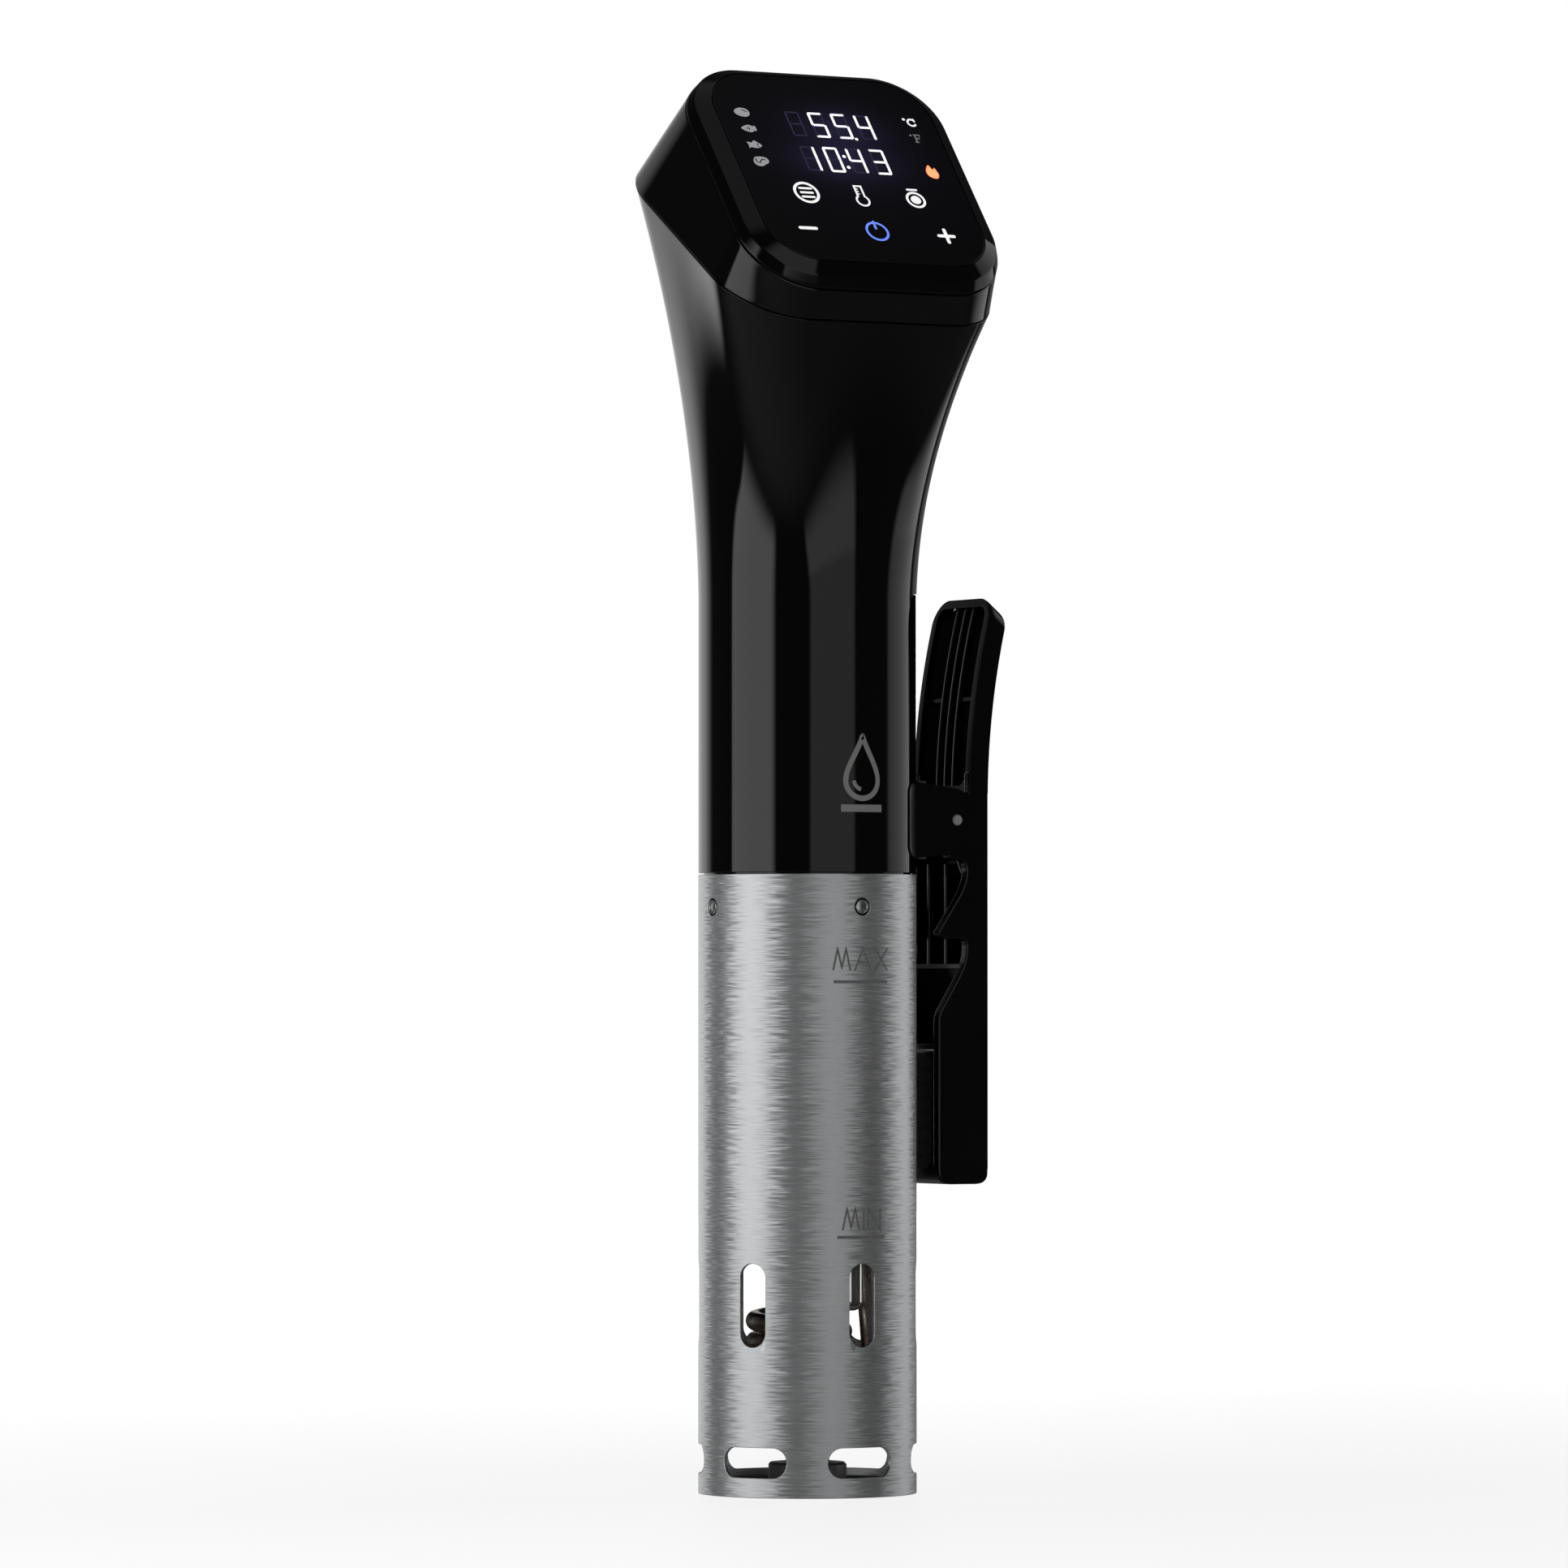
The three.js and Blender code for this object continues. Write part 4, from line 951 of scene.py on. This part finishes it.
SEGMENTS = {                                  # the strokes of one digit, on a 1 by 2 grid
    "a": [(0.05, 2), (0.95, 2)], "b": [(1, 1.95), (1, 1.05)], "c": [(1, 0.95), (1, 0.05)],
    "d": [(0.05, 0), (0.95, 0)], "e": [(0, 0.95), (0, 0.05)], "f": [(0, 1.95), (0, 1.05)],
    "g": [(0.05, 1), (0.95, 1)],
}
DIGITS = {"0": "abcdef", "1": "bc", "3": "abcdg", "4": "bcfg", "5": "acdfg", " ": ""}
DIGIT_X = (-12.6, -5.3, 1.95, 9.3)
DIGIT_W, DIGIT_H = 3.9, 4.35                  # width, and half the height


def digit_strokes(text, base, lit_ones):
    strokes = []
    for x, character in zip(DIGIT_X, text):
        for name, path in SEGMENTS.items():
            if (name in DIGITS[character]) == lit_ones:
                strokes.append(([(x + u * DIGIT_W, base + v * DIGIT_H) for u, v in path],
                                0.8 if lit_ones else 0.55, False, True))
    return strokes


def bar(width, *points, round_ends=True):
    """An open stroke through points, by default with round ends."""
    return (list(points), width, False, round_ends)


def fine_bar(width, *points):
    """An open stroke with square ends, for the smallest signs."""
    return bar(width, *points, round_ends=False)


def ring_stroke(cx, cy, r, width, start=0, end=360):
    """A round stroke, whole or part of a circle."""
    points = arc(cx, cy, r, start, end, 48)
    return (points[:-1], width, True, False) if end - start >= 360 else (points, width, False, True)


def dot(cx, cy, r):
    """A filled round dot as one stroke whose ribs swell and shrink."""
    return ([(cx - 0.02, cy), (cx + 0.02, cy)], 2 * r, False, True)


def blob_mesh(name, outlines, low, high):
    """Filled flat shapes on the panel, each an outline of (x, v) points."""
    verts, faces = [], []
    for outline in outlines:
        n, first = len(outline), len(verts)
        verts += [mark_place(x, v, high) for x, v in outline] + [mark_place(x, v, low) for x, v in outline]
        faces += [tuple(first + k for k in range(n)), tuple(first + n + k for k in reversed(range(n)))]
        faces += [(first + k, first + (k + 1) % n, first + n + (k + 1) % n, first + n + k) for k in range(n)]
    return new_mesh(name, verts, faces)


def closed_curve(points, steps=5):
    """A smooth closed outline through a few points."""
    p = [Vector(q) for q in points]
    out = []
    for four in zip(p[-1:] + p, p, p[1:] + p[:1], p[2:] + p[:2]):
        out += [tuple(q) for q in spline(*four, steps)]
    return out


MARK_LOW, MARK_HIGH, MARK_RISE = -0.02, 0.012, 0.35


def mark_place(x, v, height):
    return on_panel(x, v + MARK_RISE, height)


def panel_strokes(name, strokes, material):
    mesh = strokes_mesh(name, strokes, mark_place, MARK_LOW, MARK_HIGH)
    add_piece(name, mesh, MARKS[material], HOUSING, "screen_glass")


def panel_blobs(name, outlines, material, raise_by=0.0):
    mesh = blob_mesh(name, outlines, MARK_LOW, MARK_HIGH + raise_by)
    add_piece(name, mesh, MARKS[material], HOUSING, "screen_glass")


def make_display():
    panel_strokes("temperature_digits", digit_strokes(" 554", 11.9, True) + [dot(6.9, 11.6, 0.5)], "digit")
    panel_strokes("time_digits", digit_strokes("1043", -1.2, True)
                  + [dot(0.35, 4.6, 0.55), dot(0.35, 0.5, 0.55)], "digit")
    panel_strokes("unlit_segments", digit_strokes(" 554", 11.9, False) + digit_strokes("1043", -1.2, False)
                  + [dot(0.0, 17.8, 0.35), dot(0.0, 13.8, 0.35)], "ghost")

    menu = [ring_stroke(-16.8, -10.0, 3.55, 0.85)]
    menu += [bar(0.75, (-18.5, v), (-14.9, v)) for v in (-8.4, -10.0, -11.6)]
    panel_strokes("menu_key", menu, "white")

    stem = [(-0.75, -10.3), (-0.75, -6.6), (1.35, -6.6), (1.35, -10.3)]
    thermometer = [(stem + arc(0.3, -12.0, 1.9, 56, -232, 24), 0.6, True, False)]
    thermometer += [fine_bar(0.35, (-0.6, v), (0.15, v)) for v in (-7.7, -8.6, -9.5)]
    panel_strokes("thermometer_key", thermometer, "white")

    timer = [ring_stroke(17.5, -10.7, 2.65, 0.75), dot(17.5, -10.7, 1.55),
             bar(0.75, (16.1, -6.9), (18.9, -6.9))]
    panel_strokes("timer_key", timer, "white")
    panel_strokes("minus_key", [bar(1.1, (-23.6, -23.5), (-18.7, -23.5))], "white")
    panel_strokes("plus_key", [bar(1.1, (19.9, -24.0), (24.6, -24.0)),
                               bar(1.1, (22.25, -21.7), (22.25, -26.3))], "white")
    panel_strokes("power_key", [ring_stroke(0.55, -23.5, 3.2, 0.7, 102, 438),
                                bar(0.75, (0.5, -19.9), (0.5, -22.4))], "blue")

    letter_c = ring_stroke(27.3, 19.25, 1.22, 0.62, 48, 322)
    serif = bar(0.5, (28.2, 20.5), (28.3, 19.7))
    panel_strokes("celsius_mark", [letter_c, serif, dot(25.1, 20.4, 0.45)], "white")
    letter_f = [fine_bar(0.5, (26.4, 11.8), (26.4, 14.6)), fine_bar(0.4, (25.9, 14.5), (28.0, 14.5)),
                fine_bar(0.35, (27.9, 14.5), (27.9, 13.9)), fine_bar(0.36, (26.4, 13.2), (27.3, 13.2)),
                fine_bar(0.35, (27.4, 13.6), (27.4, 12.8)), fine_bar(0.36, (25.8, 11.75), (27.1, 11.75))]
    panel_strokes("fahrenheit_mark", letter_f + [dot(25.1, 14.3, 0.36)], "icon_dim")

    egg = [(-26.5 + 2.4 * math.cos(a), 19.6 + (1.7 + 0.2 * math.cos(a)) * math.sin(a))
           for a in (2 * math.pi * k / 32 for k in range(32))]
    fillet = closed_curve([(-28.8, 13.5), (-27.4, 14.5), (-26.0, 14.8), (-25.0, 14.3), (-24.4, 14.6),
                           (-24.1, 13.5), (-24.4, 12.5), (-24.9, 12.7), (-25.9, 12.1), (-27.5, 12.4)])
    fish = closed_curve([(-29.0, 8.2), (-28.2, 8.2), (-27.6, 8.0), (-26.6, 8.9), (-25.6, 8.2), (-24.6, 7.2),
                         (-25.3, 6.4), (-26.2, 6.1), (-27.2, 6.1), (-28.1, 6.3), (-28.9, 6.0), (-28.7, 7.1)])
    steak = closed_curve([(-29.2, 1.6), (-28.4, 2.6), (-26.7, 2.8), (-25.1, 2.5), (-24.5, 1.4), (-24.9, 0.5),
                          (-25.8, 0.0), (-26.9, -0.7), (-28.1, -0.8), (-29.1, -0.2), (-29.4, 0.7)])
    panel_blobs("food_icons", [egg, fillet, fish, steak], "icon_grey")
    gill = [(-25.6, 7.9), (-26.0, 7.2), (-25.7, 6.5)]
    curl = [(-28.3, 2.0), (-28.6, 1.3), (-28.2, 0.6), (-27.5, 0.5), (-27.0, 1.3), (-26.3, 1.9), (-25.4, 1.6)]
    slits = [fine_bar(0.34, (-26.3, 20.6), (-25.5, 20.3), (-24.9, 19.7)),
             fine_bar(0.32, (-27.0, 13.9), (-26.9, 13.1)), fine_bar(0.32, (-26.3, 14.0), (-26.3, 12.9)),
             fine_bar(0.24, *gill), fine_bar(0.34, *curl)]
    mesh = strokes_mesh("food_icon_slits", slits, mark_place, MARK_LOW, MARK_HIGH + 0.004)
    add_piece("food_icon_slits", mesh, MATERIALS["screen_glass"], HOUSING, "screen_glass")

    flame = closed_curve([(26.3, 2.9), (26.8, 2.3), (27.1, 1.5), (27.6, 1.4), (28.0, 2.0), (28.4, 0.8),
                          (28.6, -0.6), (27.8, -1.9), (26.4, -1.8), (25.3, -1.0), (25.0, 0.4), (25.4, 1.6)])
    panel_blobs("flame_icon", [flame], "flame", 0.004)
    panel_strokes("flame_rim", [(flame, 0.28, True, False)], "flame_edge")


def make_head():
    stand_in("head_shell", head_shell(), "gloss_black", "gloss_black")
    stand_in("bezel", bezel(), "gloss_black", "gloss_black", smooth=40)
    stand_in("glass_panel", glass(), "screen_glass", "screen_glass")
    make_display()


# ------------------------------------------------------------------ clamp
def lever_back(z):
    return LEVER["x"] + LEVER["bend"] * max(0.0, z - LEVER["bend_z"]) ** 2


def strip(name, in0, in1, z0, z1, y0, y1, steps=36):
    """A strip of the lever between two depths in from its back face."""
    low = max(z0, min(LEVER["bend_z"], z1 - 1))
    heights = ([z0] if z0 < low else []) + [low + (z1 - low) * k / steps for k in range(steps + 1)]
    outline = [(lever_back(z) - in0, z) for z in heights]
    outline += [(lever_back(z) - in1, z) for z in reversed(heights)]
    return prism(name, outline, "y", y0, y1)


def rounded_path(points, radius, steps=5):
    """An outline with each corner rounded by an arc-like curve of the given reach."""
    out, n = [], len(points)
    for i in range(n):
        a, b, c = Vector(points[i - 1]), Vector(points[i]), Vector(points[(i + 1) % n])
        r = radius[i] if isinstance(radius, (list, tuple)) else radius
        if r <= 0:
            out.append(tuple(b))
            continue
        p = b + (a - b).normalized() * min(r, (a - b).length * 0.49)
        q = b + (c - b).normalized() * min(r, (c - b).length * 0.49)
        for k in range(steps + 1):
            t = k / steps
            out.append(tuple(p.lerp(b, t).lerp(b.lerp(q, t), t)))
    return out


def lever_mesh():
    h, w = LEVER["half"], LEVER["wall"]
    top, plate, arm, rim = LEVER["top"], LEVER["plate"], LEVER["arm"], LEVER["rim"]
    back = LEVER["x"]
    tray_z = 192.2
    jaw = [(back - arm, 198), (back - arm, tray_z), (36.2, 192.8), (33.2, 187.5), (33.2, 181.5),
           (36.3, 174.3), (42.2, 173.6), (41.9, 167.0), (32.6, 153.4), (35.9, 152.0), (42.2, 152.2),
           (41.9, 145.2), (33.0, 131.0), (33.0, LEVER["bottom"]), (back, LEVER["bottom"]), (back, 198)]
    reach = [0, 0.8, 2, 3, 3, 0.5, 3, 5, 1.0, 0.6, 2.6, 5, 2, 4, 6, 0]
    wall = rounded_path(jaw, reach)
    sides = [bevelled(prism("side", wall, "y", low, low + w), 0.7, 4) for low in (-h, h - w)]
    plate_mesh = bevelled(strip("plate", 0, plate, 88.4, top, -h, h), 0.3, 2)
    low = LEVER["bottom"]
    foot = rounded_path([(33.0, low), (back, low), (back, 91), (46.5, 91), (46.5, 87.2), (35.2, 87.2),
                         (35.2, 89.6), (33.0, 89.6)], [4, 4, 0, 0, 0, 0, 0, 0])
    foot = prism("foot", foot, "y", -h + 0.3, h - 0.3)
    parts = [*sides, foot]
    for name, x, z, edge in (("pad_wall", (34.6, 36.8), (86.4, 122.5), 0.2),
                             ("shelf", (33.0, 47), (121.2, 123.2), 0.4),
                             ("web", (40.5, 47), (143.8, 145.2), 0.3)):
        parts.append(bevelled(box(name, x, (1 - h, h - 1), z), edge))
    parts += [bevelled(box("rib", (41.4, 47), (y - 0.7, y + 0.7), (144.6, 173)), 0.3) for y in (-4.6, 4.6)]
    tray = strip("tray", 0, arm, tray_z, top, -h, h)
    pocket = strip("pocket", plate - 0.2, arm + 2, tray_z + rim, top - rim, rim - h, h - rim)
    middle, reach_z = (top + tray_z) / 2, (top - tray_z) / 2 - rim
    pocket_trim = prism("trim", [(y, z + middle) for y, z in rounded(h - rim, reach_z, 3.4, 10)], "x", 30, 62)
    pocket = boolean(pocket, [pocket_trim], "INTERSECT")
    tray = bevelled(boolean(tray, [pocket], "DIFFERENCE"), 0.3, 2, 40)
    parts += [tray]
    parts += [bevelled(strip("rib", plate - 0.2, arm - 1.0, tray_z + 1, top - 1, y - 0.65, y + 0.65), 0.3)
              for y in (-RIB_PITCH, 0, RIB_PITCH)]
    for side in (-1, 1):
        span = sorted((side * RIB_PITCH, side * (h - 0.5)))
        parts.append(bevelled(strip("cross", plate - 0.2, arm - 1.6, 217.9, 219.1, *span, 4), 0.2))
    whole = boolean(plate_mesh, parts, "UNION")
    x0, x1 = lever_back(top) - arm, lever_back(top)
    slope = [(30, 0), (x0 + 0.3, 0), (x0 + 0.9, -0.35), (x1 - 1.7, -3.2), (x1 - 0.8, -4.3), (x1 - 0.3, -5.7),
             (x1 + 0.1, -9), (62, -20)]
    outline = rounded(h, 82, 7.2, 14)
    end = loft("end", [[(x, y, z + top - 82 + drop) for y, z in outline] for x, drop in slope], wall=False)
    trim = boolean(end, [box("keep", (30, 62), (-h - 1, h + 1), (80, 200))], "UNION")
    whole = boolean(whole, [trim], "INTERSECT")
    pin_hole = prism("hole", round_outline(PIN["x"], PIN["z"], PIN["hole_r"]), "y", -20, 20)
    drain = prism("drain", round_outline(41.5, 0, 2.2), "z", 80, 95)
    return boolean(whole, [pin_hole, drain], "DIFFERENCE")


def bracket_mesh():
    """A saddle that thins out to feathered wings, with two ears for the pin."""
    inner, wing, half_wing = 30.15, 53.5, EAR["outer"]
    plan = []
    for k in range(-40, 41):
        a = math.radians(wing * k / 40)
        thick = 2.45 if abs(32.6 * math.sin(a)) < half_wing - 1 else 0.25 + 0.5 * (1 - abs(k) / 40)
        plan.append(((inner + thick) * math.cos(a), (inner + thick) * math.sin(a)))
    plan += arc(0, 0, inner, wing, -wing, 80)
    saddle = prism("saddle", plan, "z", EAR["bottom"], EAR["top"])
    height, y_wing = (EAR["top"] - EAR["bottom"]) / 2, 32 * math.sin(math.radians(wing))
    corner = prism("corner", [(y, z + EAR["bottom"] + height) for y, z in
                              rounded(y_wing - 1.6, height, 3.5, 10)], "x", 10, 50)
    saddle = boolean(saddle, [corner], "INTERSECT")
    x1, low, high = EAR["x_end"], EAR["bottom"], EAR["top"]
    profile = rounded_path([(22, low), (x1 - 0.2, low + 1.8), (x1, high - 2.6), (22, high)],
                           [0, 6, 5.5, 0], 10)
    ears = [prism("ear", profile, "y", EAR["inner"], EAR["outer"]),
            prism("ear", profile, "y", -EAR["outer"], -EAR["inner"])]
    bore = prism("bore", [p[:2] for p in circle(inner, 0)], "z", low - 2, high + 2)
    pin_hole = prism("hole", round_outline(PIN["x"], PIN["z"], PIN["hole_r"]), "y", -20, 20)
    whole = boolean(saddle, ears, "UNION")
    whole = boolean(whole, [bore, pin_hole], "DIFFERENCE")
    return bevelled(whole, 0.65, 4, 40)


def spring_path():
    r, turns, half = 2.75, 5, 6.6
    steps = 16 * turns
    coil = [(x, half * (2 * k / steps - 1), z) for k, (x, z) in
            enumerate(arc(PIN["x"], PIN["z"], r, 0, 360 * turns, steps))]
    start = smooth_path([(45.4, -half, 170.5), (43.2, -half, 176.5), coil[0]], 6)[:-1]
    end = smooth_path([coil[-1], (39.4, half, 189.0), (36.4, half, 193.2)], 6)[1:]
    return [*start, *coil, *end]


def make_clamp():
    stand_in("clamp_bracket", bracket_mesh(), "satin_black", "satin_black")
    pin = turned("clamp_pin_hi", [(0.02, -18.7), (1.2, -18.7), (1.5, -18.4), (1.5, 18.4), (1.2, 18.7),
                                  (0.02, 18.7)], 40)
    pin = moved(pin, Matrix.Translation((PIN["x"], 0, PIN["z"])) @ Matrix.Rotation(math.pi / 2, 4, "X"))
    stand_in("clamp_pin", pin, "pin_steel", "steel")
    stand_in("clamp_lever", lever_mesh(), "satin_black", "satin_black", LEVER_BODY)
    pad = prism("jaw_pad_hi", [(y, z + 104.6) for y, z in rounded(10.6, 16, 3, 8)], "x", 32.8, 34.3)
    grooves = [box("groove", (32.0, 33.2), (-12, 12), (z - 0.5, z + 0.5)) for z in range(92, 119, 4)]
    pad = bevelled(boolean(pad, grooves, "DIFFERENCE"), 0.15, 2, 40)
    stand_in("jaw_pad", pad, "rubber", "rubber", LEVER_BODY)
    stand_in("clamp_spring", swept("clamp_spring_hi", spring_path(), 0.48, 12), "plain_steel", "steel",
             LEVER_BODY)


# ------------------------------------------------------------------ heater and probes
COIL = dict(x=-2.0, y=1.15, r=12.0, tube=2.7, top=48.8, pitch=5.7)
LEG_A, LEG_B, PROBE = (10.0, 3.0), (12.2, -5.9), (5.6, -12.5)
ROD_LOW, ROD_HIGH, ROD_TOP = (19.6, -2.1), (-11.0, -12.5), 156.0


def heater_path():
    points = [(*LEG_A, z) for z in (150, 110, 75, 61)] + [(9.9, 3.7, 54.2), (9.0, 6.5, 50.3)]
    first, step, steps = 50, 24, 40                 # degrees, degrees and count, for the turns
    turns = arc(COIL["x"], COIL["y"], COIL["r"], first, first + step * steps, steps)
    points += [(x, y, COIL["top"] - COIL["pitch"] * step * k / 360) for k, (x, y) in enumerate(turns)]
    points += [(6.4, -11.6, 32.6), (11.4, -11.4, 33.8), (14.2, -9.9, 38.0), (14.7, -8.5, 46.0),
               (13.9, -6.9, 64.0), (12.9, -6.2, 84.0), (*LEG_B, 110), (*LEG_B, 150)]
    return smooth_path(points, 6)


def hanging_rod(name, place, r, tip, bottom):
    """A rod that hangs from the seal plate, its lower end rounded off over the reach of its tip."""
    end = arc(r - tip, bottom + tip, tip, -90, 0, 9)
    rod = turned(name, [(0.02, bottom), *end, (r, ROD_TOP), (0.02, ROD_TOP)], 48)
    return moved(rod, Matrix.Translation((*place, 0)))


def make_heater():
    stand_in("heater_coil", swept("heater_coil_hi", heater_path(), COIL["tube"] - 0.02, 28),
             "heater_metal", "heater_metal")
    for name, place, r, tip, bottom in (("temperature_probe", PROBE, 4.0, 2.6, 50.2),
                                        ("level_rod_low", ROD_LOW, 1.6, 1.1, 36.0),
                                        ("level_rod_high", ROD_HIGH, 1.6, 1.1, 118.0)):
        stand_in(name, hanging_rod(name + "_hi", place, r, tip, bottom), "polished_steel", "steel")


def finish_cad_nodes():
    """Every CAD node that still shows takes the material of its slot in the record."""
    slots = {s["node"]: s["material_slot"] for s in frame["record"]["subparts"]}
    for name, obj in frame["nodes"].items():
        material = MATERIALS[slots[name]]
        if slots[name] == "steel" and name != "skirt_tube":
            material = MATERIALS["plain_steel"]
        if name == "base_cap":
            material = MATERIALS["cap_grey"]
        obj.data.materials.clear()
        obj.data.materials.append(material)


make_skirt()
make_body()
make_head()
make_clamp()
make_heater()
finish_cad_nodes()
